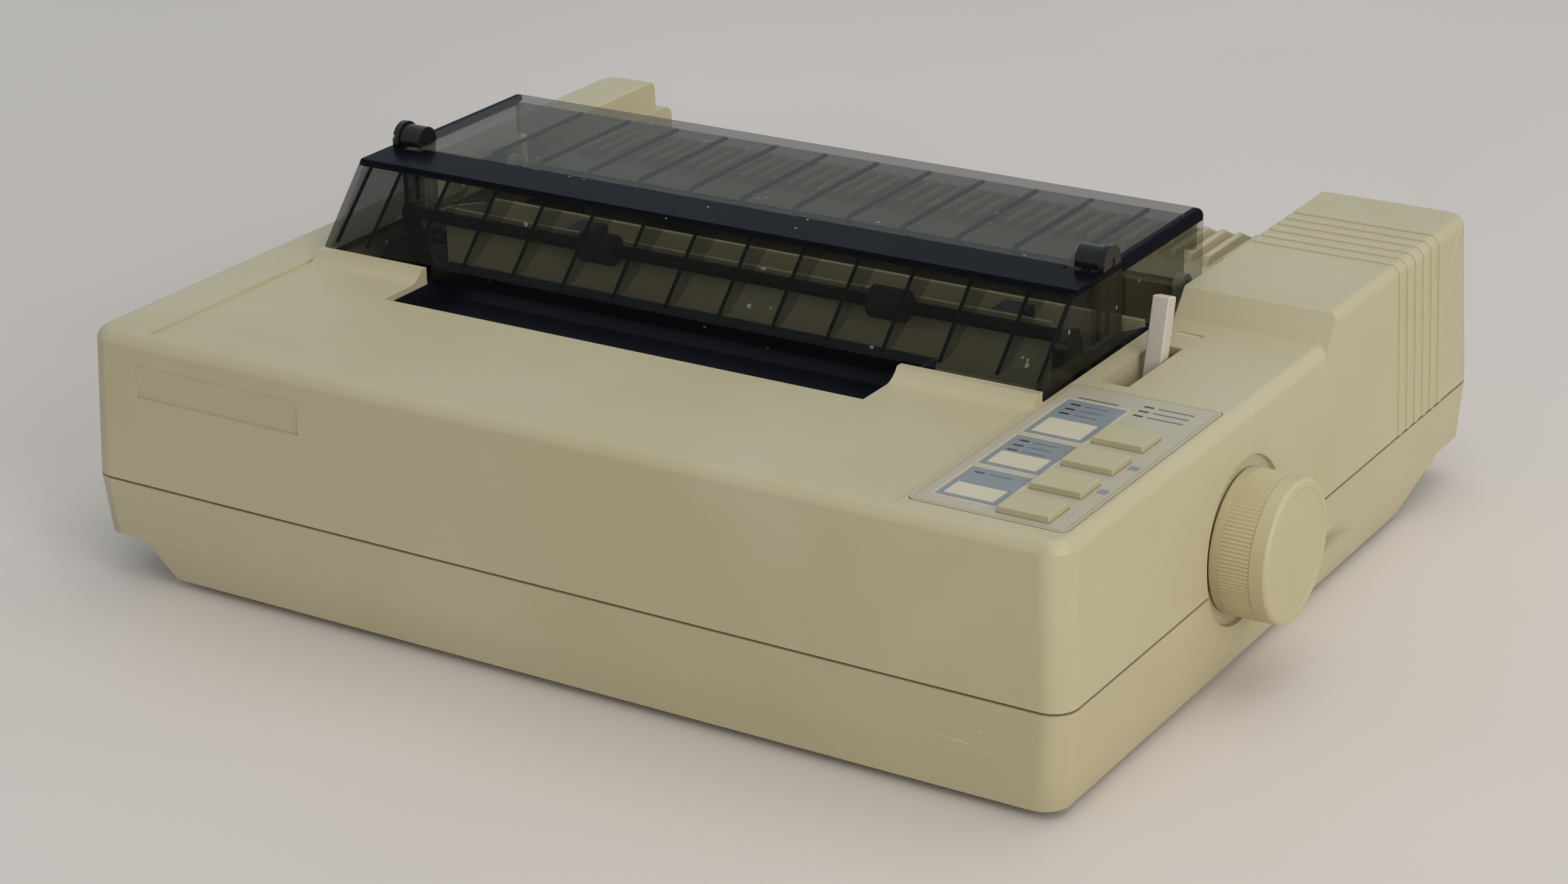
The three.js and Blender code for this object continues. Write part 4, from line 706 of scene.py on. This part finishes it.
def hump_ridges():
    """Ridges that wrap over the right hump's outer edge and down its side."""
    rise = 0.7
    shell = block_about(rise, SEAM, HUMP + rise, CORNER + rise, HUMP_LEAN, HUMP_EDGE + rise)
    ridges = drawn(shell, "hump_ridges")
    first, pitch, width = 94.3, 7.45, 3
    places = [first + i * pitch for i in range(6)]
    slices = [box(HUMP_X[1] + 1.5, HALF_W + 5, y, y + width, SEAM, HUMP + 5) for y in places]
    carve(ridges, "INTERSECT", gathered(*slices))
    carve(ridges, "DIFFERENCE", block_about(-1, SEAM - 1, HUMP - 1, CORNER, HUMP_LEAN, HUMP_EDGE))
    soften(ridges, 0.6, 4, 30)
    finish_piece(ridges, case_plastic, "chassis")


def corner_ridge():
    """A short slanting ridge on the right hump's rear end."""
    ridge = drawn(box(HALF_W - 4, HALF_W + 0.2, -1.3, 1.3, -7.5, 7.5), "corner_ridge")
    turn = Matrix.Rotation(math.radians(-37), 4, "X")
    ridge.data.transform(Matrix.Translation((-2.2, 148.4, 97.2)) @ turn)
    soften(ridge, 0.6, 3)
    finish_piece(ridge, case_plastic, "chassis")


def deck_ribs():
    """The row of ribs that carries the paper over the rear deck and down its fall."""
    pitch, width = 7, 2.4
    root, top = DECK - 1, DECK + RIB_RISE
    near, far = SLOT_REAR + 15.5, HALF_D - 12
    outline = [(near, root), (FALL_Y, root), (far, fall_at(root, far)), (far, fall_at(top, far + 2)),
               (FALL_Y - 2, top), (near + 4, top)]
    count = int((HUMP_X[1] - FALL_X) / pitch) - 1
    middles = [HUMP_X[1] - i * pitch for i in range(1, count + 1)]
    ribs = drawn(gathered(*(prism_x(outline, x - width / 2, x + width / 2) for x in middles)), "deck_ribs")
    soften(ribs, 0.8, 3)
    finish_piece(ribs, case_plastic, "chassis")


def slot_liner():
    """The lever slot's walls, which lean in towards the lever."""
    top = DECK_UNDER + 0.5
    outer = box(140.4, 156.8, -39, 8.5, 80, top)
    inner = prism_y([(142.9, top + 1), (145.2, 79), (153.5, 79), (153.9, top + 1)], -36.2, 5.7)
    liner = drawn(outer, "slot_liner")
    carve(liner, "DIFFERENCE", inner)
    soften(liner, 0.3)
    finish_piece(liner, case_plastic, "chassis")


# ---- lower case
def tray(low, high, inset, radius):
    """A layer of the tray, whose sides lean out as they rise."""
    def side(z):
        return inset + CREASE_INSET * (SEAM - z) / (SEAM - CREASE)

    return block_about(-side(low), low, high, radius, side(high) - side(low))


def tray_outside():
    """Plinth, ledge and tray in one: the ledge is cut away on the left and at the rear only."""
    low_left, low_rear = -166.5, 110
    ledge_left, ledge_rear = -177.5, 138.4
    reach_x, reach_y = HALF_W - PLINTH_INSET, HALF_D - PLINTH_INSET
    bm, face = rounded_slab(-reach_x, reach_x, -reach_y, reach_y, FOOT, CORNER, 8)
    flare = PLINTH_INSET - CREASE_INSET
    face = extend(bm, face, CREASE, -flare)
    extend(bm, face, TRAY_TOP, -CREASE_INSET)
    bmesh.ops.recalc_face_normals(bm, faces=bm.faces)
    case = drawn(bm, "case_tray")
    past = 20
    out_x, out_y, under = HALF_W + past, HALF_D + past, FOOT - past
    left = [(-out_x, CREASE), (ledge_left, CREASE), (low_left, FOOT), (low_left, under), (-out_x, under)]
    rear = [(out_y, CREASE), (ledge_rear, CREASE), (low_rear, FOOT), (low_rear, under), (out_y, under)]
    carve(case, "DIFFERENCE", prism_y(left, -out_y, out_y), prism_x(rear, -out_x, out_x))
    return case


def grip_form():
    """The finger grip in the right side, whose rear end runs out to the surface."""
    inner, out = HALF_W - GRIP_DEPTH, HALF_W + 9
    near, far = GRIP_Y
    outline = [(out, near), (inner, near), (inner, far - GRIP_RUN), (HALF_W - 1, far), (out, far)]
    return prism_z(outline, CREASE - 0.01, GRIP_TOP)


def lower_case():
    """The tray with a tongue inside the seam, and the seats of its feet and screws."""
    case = tray_outside()
    tongue_inset = WALL + 0.8
    tongue_top = SEAM + 3
    carve(case, "UNION", tray(SEAM - 4, tongue_top, tongue_inset, CORNER - tongue_inset))
    inner_radius = CORNER - WALL
    carve(
        case, "DIFFERENCE",
        tray(CREASE + WALL, SEAM - 3.9, WALL, inner_radius),
        tray(SEAM - 4, tongue_top + 4, tongue_inset + 1.5, CORNER - tongue_inset - 1.5),
        rounded_block(-158, 188, -155.5, 104, FOOT + WALL, CREASE + WALL + 1, inner_radius),
    )
    pad = rod_x(KNOB_Y, KNOB_Z, PAD_R, DISH_X - WALL, HALF_W - 2.2, 72)
    grip_lining = box(
        HALF_W - GRIP_DEPTH - WALL, HALF_W - 3, GRIP_Y[0] - WALL, GRIP_Y[1] - 1 + WALL,
        CREASE - WALL, GRIP_TOP + WALL,
    )
    carve(case, "UNION", clipped(pad, TRAY_TOP, False), grip_lining)
    carve(case, "DIFFERENCE", dish_form(), grip_form(), box(*DATA_X, HALF_D - 10, HALF_D + 5, *DATA_Z))
    seats = []
    for kind, play, top, segments in (("foot", 0.4, FOOT + 1, 32), ("case_screw", 0.6, 25, 24)):
        for where in CORNERS:
            (x0, y0, _), (x1, y1, _) = node_mm(f"{kind}_{where}")
            radius = (x1 - x0) / 2 + play
            seats.append(rod_z((x0 + x1) / 2, (y0 + y1) / 2, radius, FOOT - 3, top, segments))
    carve(case, "DIFFERENCE", gathered(*seats))
    soften(case, 0.55, 3)
    finish_piece(case, case_plastic, "chassis", ("lower_case",))


# ---- smoked covers
def strip(points, width, z0, z1):
    """A narrow bar along a bent line of (x, y) points."""
    left, right = [], []
    for i, (x, y) in enumerate(points):
        before = Vector(points[max(i - 1, 0)])
        after = Vector(points[min(i + 1, len(points) - 1)])
        side = (after - before).normalized().orthogonal() * width / 2
        left.append((x + side.x, y + side.y))
        right.append((x - side.x, y - side.y))
    return prism_z(left + right[::-1], z0, z1)


def cover_crest():
    """The level band along the front cover's crest, with the hinge knuckles on it."""
    return box(COVER_X[0] - 5, COVER_X[1] + 5, CREST_Y - 1, 5, COVER_TOP - COVER_WALL, KNUCKLE_Z + 10)


def at_both_ends(reach, y0, y1, z0, z1):
    """Two boxes that take in the covers' left and right ends."""
    past = 5
    spans = ((COVER_X[0] - past, COVER_X[0] + reach), (COVER_X[1] - reach, COVER_X[1] + past))
    return gathered(*(box(x0, x1, y0, y1, z0, z1) for x0, x1 in spans))


def end_walls(top):
    """The space of the covers' end walls up to a height."""
    return at_both_ends(COVER_WALL + 0.02, -80, 80, 80, top)


def knuckle_space():
    """The space over the covers' tops where the hinge knuckles stand."""
    return box(COVER_X[0] - 5, COVER_X[1] + 5, STRIP_REAR - 1, 5, COVER_TOP + 0.05, KNUCKLE_Z + 10)


def front_cover():
    """The cover's clear panes, its denser end walls, and its crest painted near-opaque dark as shade, with
    the knuckles on it.
    """
    panes = from_node("front_cover", "paper_cover", 0)
    carve(panes, "DIFFERENCE", cover_crest())
    ends = split_off(panes, "paper_cover_ends", end_walls(KNUCKLE_Z + 20))
    # The crest band gets the near-opaque dark smoke as painted shade.
    crest = from_node("front_cover", "paper_cover_crest", 0)
    carve(crest, "INTERSECT", cover_crest())
    knuckles = split_off(crest, "paper_cover_knuckles", knuckle_space())
    for piece, material, replaced in ((panes, smoke_front, ("front_cover",)), (ends, smoke_dense, ()),
                                      (crest, dark_smoke_and_shade, ()), (knuckles, smoke_brown, ())):
        soften(piece, 0.5, 3)
        finish_piece(piece, material, "cover", replaced)


def cover_ears():
    """Two upright ribs inside each end of the front cover, under the hinge knuckle."""
    ribs = []
    top = KNUCKLE_Z - KNUCKLE_R - 1.5
    for x in (COVER_X[0] + COVER_WALL + 0.1, COVER_X[1] - COVER_WALL - 1.3):
        for y in (KNUCKLE_Y - 4, KNUCKLE_Y + 3):
            ribs.append(box(x, x + 1.2, y - 0.8, y + 0.8, COVER_SKIRT + 1, top))
    ears = drawn(gathered(*ribs), "paper_cover_ears")
    soften(ears, 0.3)
    finish_piece(ears, dark_smoke_and_shade, "cover")


def cover_fins():
    """Gussets inside the sloping face that steer the paper up and out, with their dark roots."""
    first, pitch, count, width = -153.7, 22.4, 13, 1.1
    wall = COVER_WALL + 0.05
    foot = COVER_SKIRT + 0.6
    low_y, high_y = COVER_FRONT + wall + 0.5, CREST_Y + wall
    top = COVER_TOP - wall - 0.1
    rear = STRIP_REAR - 1
    gusset = [(low_y, foot), (high_y, top), (rear, top), (rear, top - 3), (low_y + 8, foot)]
    root = [(low_y, foot), (high_y, top), (high_y + 0.9, top), (low_y + 0.9, foot)]
    middles = [first + i * pitch for i in range(count)]
    end = COVER_WALL + 0.75
    ends = [COVER_X[0] + end, COVER_X[1] - end]
    for name, outline, places, half, material in (
        ("paper_cover_fins", gusset, middles, width / 2, smoke_fin),
        ("paper_cover_fin_roots", root, middles + ends, (width + 0.1) / 2, dark_smoke_and_shade),
    ):
        fins = drawn(gathered(*(prism_x(outline, x - half, x + half) for x in places)), name)
        soften(fins, 0)
        finish_piece(fins, material, "cover")


def front_cover_skirt():
    """The tab that hangs from the sloping face between the deck's two lips."""
    foot = 94.8
    sheet = box(MOUTH_X[0] + 1, MOUTH_X[1] - 1, COVER_FRONT, COVER_FRONT + COVER_WALL, foot, COVER_SKIRT)
    skirt = drawn(sheet, "paper_cover_skirt")
    soften(skirt, 0.5)
    finish_piece(skirt, smoke_rib, "cover")


def hood():
    """The hood's shell, its clearer end walls, and the knuckles that stand on it."""
    shell = from_node("rear_cover", "hood_cover", 0)
    knuckles = split_off(shell, "hood_knuckles", knuckle_space())
    rims = at_both_ends(EDGE_REACH, HOOD_END - 0.02, HOOD_REAR + 5, COVER_TOP - EDGE_REACH, COVER_TOP + 5)
    carve(shell, "DIFFERENCE", rims)
    ends = split_off(shell, "hood_ends", end_walls(COVER_TOP - EDGE_REACH + 0.1))
    for piece, width, material, replaced in ((shell, 0.6, smoke, ("rear_cover",)),
                                             (ends, 0.6, smoke_end, ()), (knuckles, 0.5, smoke_brown, ())):
        soften(piece, width, 3)
        finish_piece(piece, material, "hood", replaced)


def hood_corners():
    """The thick round corners where the hood's top turns down into its ends."""
    thick, outer, more = EDGE_REACH, 2.4, EDGE_REACH - COVER_WALL
    arc = [math.radians(90 * i / 6) for i in range(7)]
    turns = [(1 - math.sin(a), 1 - math.cos(a)) for a in arc]
    top = COVER_TOP - 0.02
    forms = []
    for side, x in ((-1, COVER_X[0] + 0.02), (1, COVER_X[1] - 0.02)):
        rim = [(x - side * outer * across, top - outer * down) for across, down in turns]
        inner = [(x - side * (COVER_WALL + more * across), top - COVER_WALL - more * down)
                 for across, down in turns[::-1]]
        outline = rim + [(x, top - thick), *inner, (x - side * thick, top)]
        forms.append(prism_y(outline, HOOD_END, HOOD_REAR - 0.02))
    corners = drawn(gathered(*forms), "hood_corners")
    soften(corners, 0.3)
    finish_piece(corners, dark_smoke_and_shade, "hood")


def hood_ribs():
    """Hooked ribs under the hood's top that hold the leaving sheet off it."""
    under = COVER_TOP - COVER_WALL - 0.05
    first, pitch, count = -136.1, 22.65, 12
    bars = []
    for i in range(count):
        x = first + i * pitch
        hook = [(x, HOOD_REAR - 2), (x, 2), (x + 0.8, -1), (x + 2.8, -3.4), (x + 11.5, -9)]
        bars.append(strip(hook, 1.3, under - 1.2, under))
    ribs = drawn(gathered(*bars), "hood_fins")
    soften(ribs, 0)
    finish_piece(ribs, smoke_rib, "hood")


# ---- the mouth in front of the covers
def mouth_trough():
    """A dark trough under the mouth that hides the mechanism and ends under the front cover."""
    (x0, y0, z0), (x1, _, z1) = node_mm("inner_shield")
    wall, rise = 1.6, 97.2
    bend, rear = -51.5, -45
    outline = [(y0, z0), (bend, z0), (rear, rise), (rear - wall, rise), (bend - wall / 2, z0 + wall),
               (y0 + wall, z0 + wall), (y0 + wall, z1), (y0, z1)]
    trough = drawn(prism_x(outline, x0, x1), "mouth_trough")
    end = [(y0, z0), (bend, z0), (rear, rise), (-57, rise), (-60, z1), (y0, z1)]
    for x in (x0, x1 - wall):
        carve(trough, "UNION", prism_x(end, x, x + wall))
    soften(trough, 0.4)
    finish_piece(trough, shield_plastic, "chassis", ("inner_shield",))


def sheet_chute():
    """The pale plate behind the platen that turns the sheet up, held between the side frames."""
    left, right = node_mm("side_frame_left")[1][0], node_mm("side_frame_right")[0][0]
    outline = [(-17.5, 57), (-13.8, 66), (-13.8, 105), (-12.2, 105), (-12.2, 65.4), (-16.1, 56.4)]
    chute = drawn(prism_x(outline, left + 0.3, right - 0.3), "sheet_chute")
    soften(chute, 0.3)
    finish_piece(chute, inner_plastic, "chassis")


# ---- knob
def platen_knob():
    """A turned knob with a band of fine ridges between two smooth rims."""
    ridges, depth = 112, 0.42
    back, front = KNOB_LOW[0], KNOB_HIGH[0]
    edge, rim = 1.6, KNOB_R - 0.15
    steps = [
        (back, KNOB_R - 1.2, False), (back + 0.4, KNOB_R - 0.5, False), (back + 1, KNOB_R - 0.3, False),
        (back + 3.6, KNOB_R - 0.3, False), (back + 3.9, KNOB_R - 0.1, True),
        (back + 14.6, KNOB_R - 0.1, True), (back + 14.9, rim, False), (front - edge, rim, False),
    ]
    for i in range(1, 7):
        angle = math.radians(15 * i)
        steps.append((front - edge + edge * math.sin(angle), rim - edge + edge * math.cos(angle), False))
    steps += [(front, KNOB_R - 3.2, False), (front - 0.35, KNOB_R - 3.7, False)]
    bm = bmesh.new()
    bmesh.ops.create_circle(bm, cap_ends=True, radius=steps[0][1], segments=2 * ridges)
    bmesh.ops.rotate(bm, matrix=Matrix.Rotation(math.radians(90), 3, "Y"), verts=bm.verts)
    bmesh.ops.translate(bm, vec=(back, KNOB_Y, KNOB_Z), verts=bm.verts)
    bm.faces.ensure_lookup_table()
    face = bm.faces[0]
    for x, radius, ridged in steps[1:]:
        face = pushed_out(bm, face)
        for i, loop in enumerate(face.loops):
            v = loop.vert
            reach = radius - (depth if ridged and i % 2 else 0)
            arm = Vector((0, v.co.y - KNOB_Y, v.co.z - KNOB_Z)).normalized() * reach
            v.co = Vector((x, KNOB_Y, KNOB_Z)) + arm
    bmesh.ops.recalc_face_normals(bm, faces=bm.faces)
    knob = drawn(bm, "paper_feed_knob")
    carve(knob, "DIFFERENCE", rod_x(KNOB_Y, KNOB_Z, 4.1, back - 1, back + 14, 48))
    knob.data.shade_smooth()
    knob.data.set_sharp_from_angle(angle=math.radians(28))
    finish_piece(knob, knob_plastic, "platen", ("platen_knob",))


# ---- control panel
def film(name, patches, lift, thickness=0.05):
    """Thin patches on the panel, print and one line of painted seam shade: each is (x0, x1, y0, y1, corner
    radius).
    """
    top = LABEL_HIGH[2] + lift
    forms = []
    for x0, x1, y0, y1, radius in patches:
        bm, face = rounded_slab(x0, x1, y0, y1, top - thickness - lift * 0.5, radius, 4)
        extend(bm, face, top)
        bmesh.ops.recalc_face_normals(bm, faces=bm.faces)
        forms.append(bm)
    piece = drawn(gathered(*forms), name)
    piece.data.shade_flat()
    return piece


def frames_of(patches, width):
    """Cutters for the middles of the patches, which leaves a frame of the given width."""
    forms = []
    for x0, x1, y0, y1, _ in patches:
        forms.append(box(x0 + width, x1 - width, y0 + width, y1 - width, DECK - 2, DECK + 4))
    return gathered(*forms)


def panel_label():
    """The panel's film, a line of painted shade for the seam just inside its edge, and the blocks, windows,
    lamps and rules printed on it.
    """
    (x0, y0, z0), (x1, y1, _) = LABEL_LOW, LABEL_HIGH
    label, face = rounded_slab(x0, x1, y0, y1, z0, 2.2, 5)
    extend(label, face, LABEL_HIGH[2])
    bmesh.ops.recalc_face_normals(label, faces=label.faces)
    piece = drawn(label, "panel_face")
    carve(piece, "DIFFERENCE", button_holes(0.35))
    soften(piece, 0.12)
    finish_piece(piece, panel_film, "chassis", ("panel_label",))

    # A thin dark frame just inside the film's edge is painted shade, standing in for the shadow in the seam
    # around the label.
    edge, line_width = 0.9, 0.45
    border = [(x0 + edge, x1 - edge, y0 + edge, y1 - edge, 1.5)]
    line = film("panel_seam_shade", border, 0.04)
    carve(line, "DIFFERENCE", frames_of(border, line_width))
    finish_piece(line, painted_seam_shade, "chassis")

    out = 1.1
    outlines = [(x0 - out, x1 + out, y0 - out, y1 + out, 0.8) for x0, x1, y0, y1 in PANEL_BLOCKS]
    pale = film("panel_outlines", outlines, 0.04)
    carve(pale, "DIFFERENCE", frames_of(outlines, line_width))
    finish_piece(pale, print_pale, "chassis")

    blocks = [(x0, x1, y0, y1, 0.4) for x0, x1, y0, y1 in PANEL_BLOCKS]
    tabs = [(185.4, 188.8, y - 1.7, y + 1.7, 0.4) for y in (-98.5, -120)]
    finish_piece(film("panel_blocks", blocks + tabs, 0.05), print_blue, "chassis")

    windows = []
    for x0, x1, y0, y1 in PANEL_BLOCKS:
        windows.append((x0 + 1.9, x1 - 1.9, y0 + 2, y0 + 0.47 * (y1 - y0), 0.3))
    finish_piece(film("panel_windows", windows, 0.09), print_pale, "chassis")

    step, wide, high = 4.2, 3.6, 1.1
    places = [(x0 + 2.6, y1 - 4.2 - i * step, 8.5) for (x0, _, _, y1), count in zip(PANEL_BLOCKS, (3, 3, 1))
              for i in range(count)]
    places += [(166.5, -50.1 - i * step, 13) for i in range(3)]
    lamps = [(x, x + wide, y, y + high, 0.3) for x, y, _ in places]
    finish_piece(film("panel_lamps", lamps, 0.1), lamp_window, "chassis")
    rules = [(x + wide + 1.6, x + wide + 1.6 + long, y + 0.2, y + 0.9, 0.2) for x, y, long in places]
    rules.append((PANEL_BLOCKS[0][0] + 2, PANEL_BLOCKS[0][0] + 17, -53.4, -52.6, 0.2))
    finish_piece(film("panel_rules", rules, 0.1), print_grey, "chassis")


def buttons():
    """Square caps, a little softer at the top edge than a sharp moulding."""
    for button in BUTTONS:
        cap = from_node(button, f"panel_{button}", 0.55, 4)
        finish_piece(cap, button_plastic, f"{button}_body", (button,))


# ---- the mechanism
SOFT_EDGE = {
    "release_lever": 0.7, "tractor_left": 1.2, "tractor_right": 1.2, "paper_bail": 0.2, "print_head": 0.4,
    "ribbon_cartridge": 1.0, "carriage": 0.6, "transformer": 0.8, "carriage_belt": 0.15, "main_board": 0.2,
    "platen_gear": 0.12, "idler_gear": 0.12, "tractor_gear": 0.12, "feed_pinion": 0.1, "paper_guide": 0.3,
    "power_rocker": 0.5, "power_inlet": 0.4, "data_connector": 0.4, "foot": 0.7,
    "case_screw": 0.3, "platen_roller": 0.4, "side_frame_left": 0.25, "side_frame_right": 0.25,
}
REMADE = {"upper_case", "lower_case", "front_cover", "rear_cover", "platen_knob", "panel_label",
          "inner_shield", *BUTTONS}
OWN_FINISH = {"paper_guide": inner_plastic, "paper_bail": dark_steel, "tractor_rod": dark_steel,
              "tractor_shaft": dark_steel}


def mechanism():
    """Every other piece keeps its own form, with its edges broken."""
    for node in frame["nodes"]:
        if node in REMADE:
            continue
        kind = node if node in SOFT_EDGE else node.rsplit("_", 2)[0]
        width = SOFT_EDGE.get(node, SOFT_EDGE.get(kind, 0.3))
        slot = SLOT_OF[node]
        material = OWN_FINISH.get(node, SLOT_MATERIAL[slot])
        piece = from_node(node, f"{node}_finished", width)
        finish_piece(piece, material, BODY_OF[node], (node,))


# ---- desk, light and camera
def desk():
    """A plain matt top, wider than any view."""
    bm = bmesh.new()
    bmesh.ops.create_grid(bm, x_segments=1, y_segments=1, size=6)
    mesh = bpy.data.meshes.new("desk")
    bm.to_mesh(mesh)
    bm.free()
    floor = bpy.data.objects.new("desk", mesh)
    bpy.context.scene.collection.objects.link(floor)
    material, nodes, links, bsdf = shader("desk_top")
    fade = spread(nodes, links, noise(nodes, links, 3, 2.0), 0.3, 0.7)
    colour = blended(nodes, links, fade, srgb(223, 215, 207), srgb(218, 209, 201))
    links.new(colour, bsdf.inputs["Base Color"])
    bsdf.inputs["Roughness"].default_value = 0.65
    mesh.materials.append(material)


def area_light(name, place, aim, size, power, colour):
    light = bpy.data.lights.new(name, "AREA")
    light.shape = "RECTANGLE"
    light.size, light.size_y = size
    light.energy = power
    light.color = colour
    lamp = bpy.data.objects.new(name, light)
    lamp.location = place
    lamp.rotation_euler = (Vector(aim) - Vector(place)).to_track_quat("-Z", "Y").to_euler()
    bpy.context.scene.collection.objects.link(lamp)


def lighting():
    """A soft ceiling, a window to the right, and a room whose look differs from the light it gives."""
    world = bpy.data.worlds.new("room")
    bpy.context.scene.world = world
    world.use_nodes = True
    nodes, links = world.node_tree.nodes, world.node_tree.links
    light = nodes["Background"]
    light.inputs["Color"].default_value = (0.86, 0.93, 1.0, 1.0)
    light.inputs["Strength"].default_value = 0.5
    seen = nodes.new("ShaderNodeBackground")
    seen.inputs["Color"].default_value = srgb(200, 211, 222)
    seen.inputs["Strength"].default_value = 1.0
    path = nodes.new("ShaderNodeLightPath")
    rays = path.outputs["Is Camera Ray"]
    for kind in ("Is Glossy Ray", "Is Transmission Ray"):
        either = nodes.new("ShaderNodeMath")
        either.operation = "MAXIMUM"
        links.new(rays, either.inputs[0])
        links.new(path.outputs[kind], either.inputs[1])
        rays = either.outputs["Value"]
    mix = nodes.new("ShaderNodeMixShader")
    links.new(rays, mix.inputs["Fac"])
    links.new(light.outputs["Background"], mix.inputs[1])
    links.new(seen.outputs["Background"], mix.inputs[2])
    links.new(mix.outputs["Shader"], nodes["World Output"].inputs["Surface"])
    area_light("ceiling", (0.6, 0.2, 2.2), (0, 0, 0.05), (2.2, 1.6), 14, (1.0, 0.96, 0.9))
    area_light("window", (2.0, -1.0, 0.95), (0.1, 0, 0.05), (1.4, 1.2), 21, (1.0, 0.95, 0.9))


def camera():
    """The camera, turned about its own line of sight by a small roll."""
    azimuth, elevation, roll, distance = 32.44, 22.38, -1.23, 1423.4
    az, el, tilt = (math.radians(a) for a in (azimuth, elevation, roll))
    back = Vector((math.sin(az) * math.cos(el), -math.cos(az) * math.cos(el), math.sin(el)))
    right = (-back).cross(Vector((0, 0, 1))).normalized()
    up = right.cross(-back)
    side = math.cos(tilt) * right + math.sin(tilt) * up
    top = -math.sin(tilt) * right + math.cos(tilt) * up
    target = Vector((-77.8, 112.1, -23.4))
    eye = (target + distance * back) * MM + Vector((CASE_X, 0, 0))
    lens = bpy.data.cameras.new("camera")
    lens.sensor_width = 36
    lens.lens = 78.46
    lens.clip_end = 50
    view = bpy.data.objects.new("camera", lens)
    turn = Matrix((side, top, back)).transposed()
    view.matrix_world = Matrix.Translation(eye) @ turn.to_4x4()
    bpy.context.scene.collection.objects.link(view)
    bpy.context.scene.camera = view


camera()
upper_case()
hump_ridges()
corner_ridge()
deck_ribs()
slot_liner()
lower_case()
front_cover()
cover_fins()
front_cover_skirt()
mouth_trough()
sheet_chute()
cover_ears()
hood()
hood_ribs()
hood_corners()
platen_knob()
panel_label()
buttons()
mechanism()
desk()
lighting()
bpy.context.scene.view_settings.view_transform = "Standard"
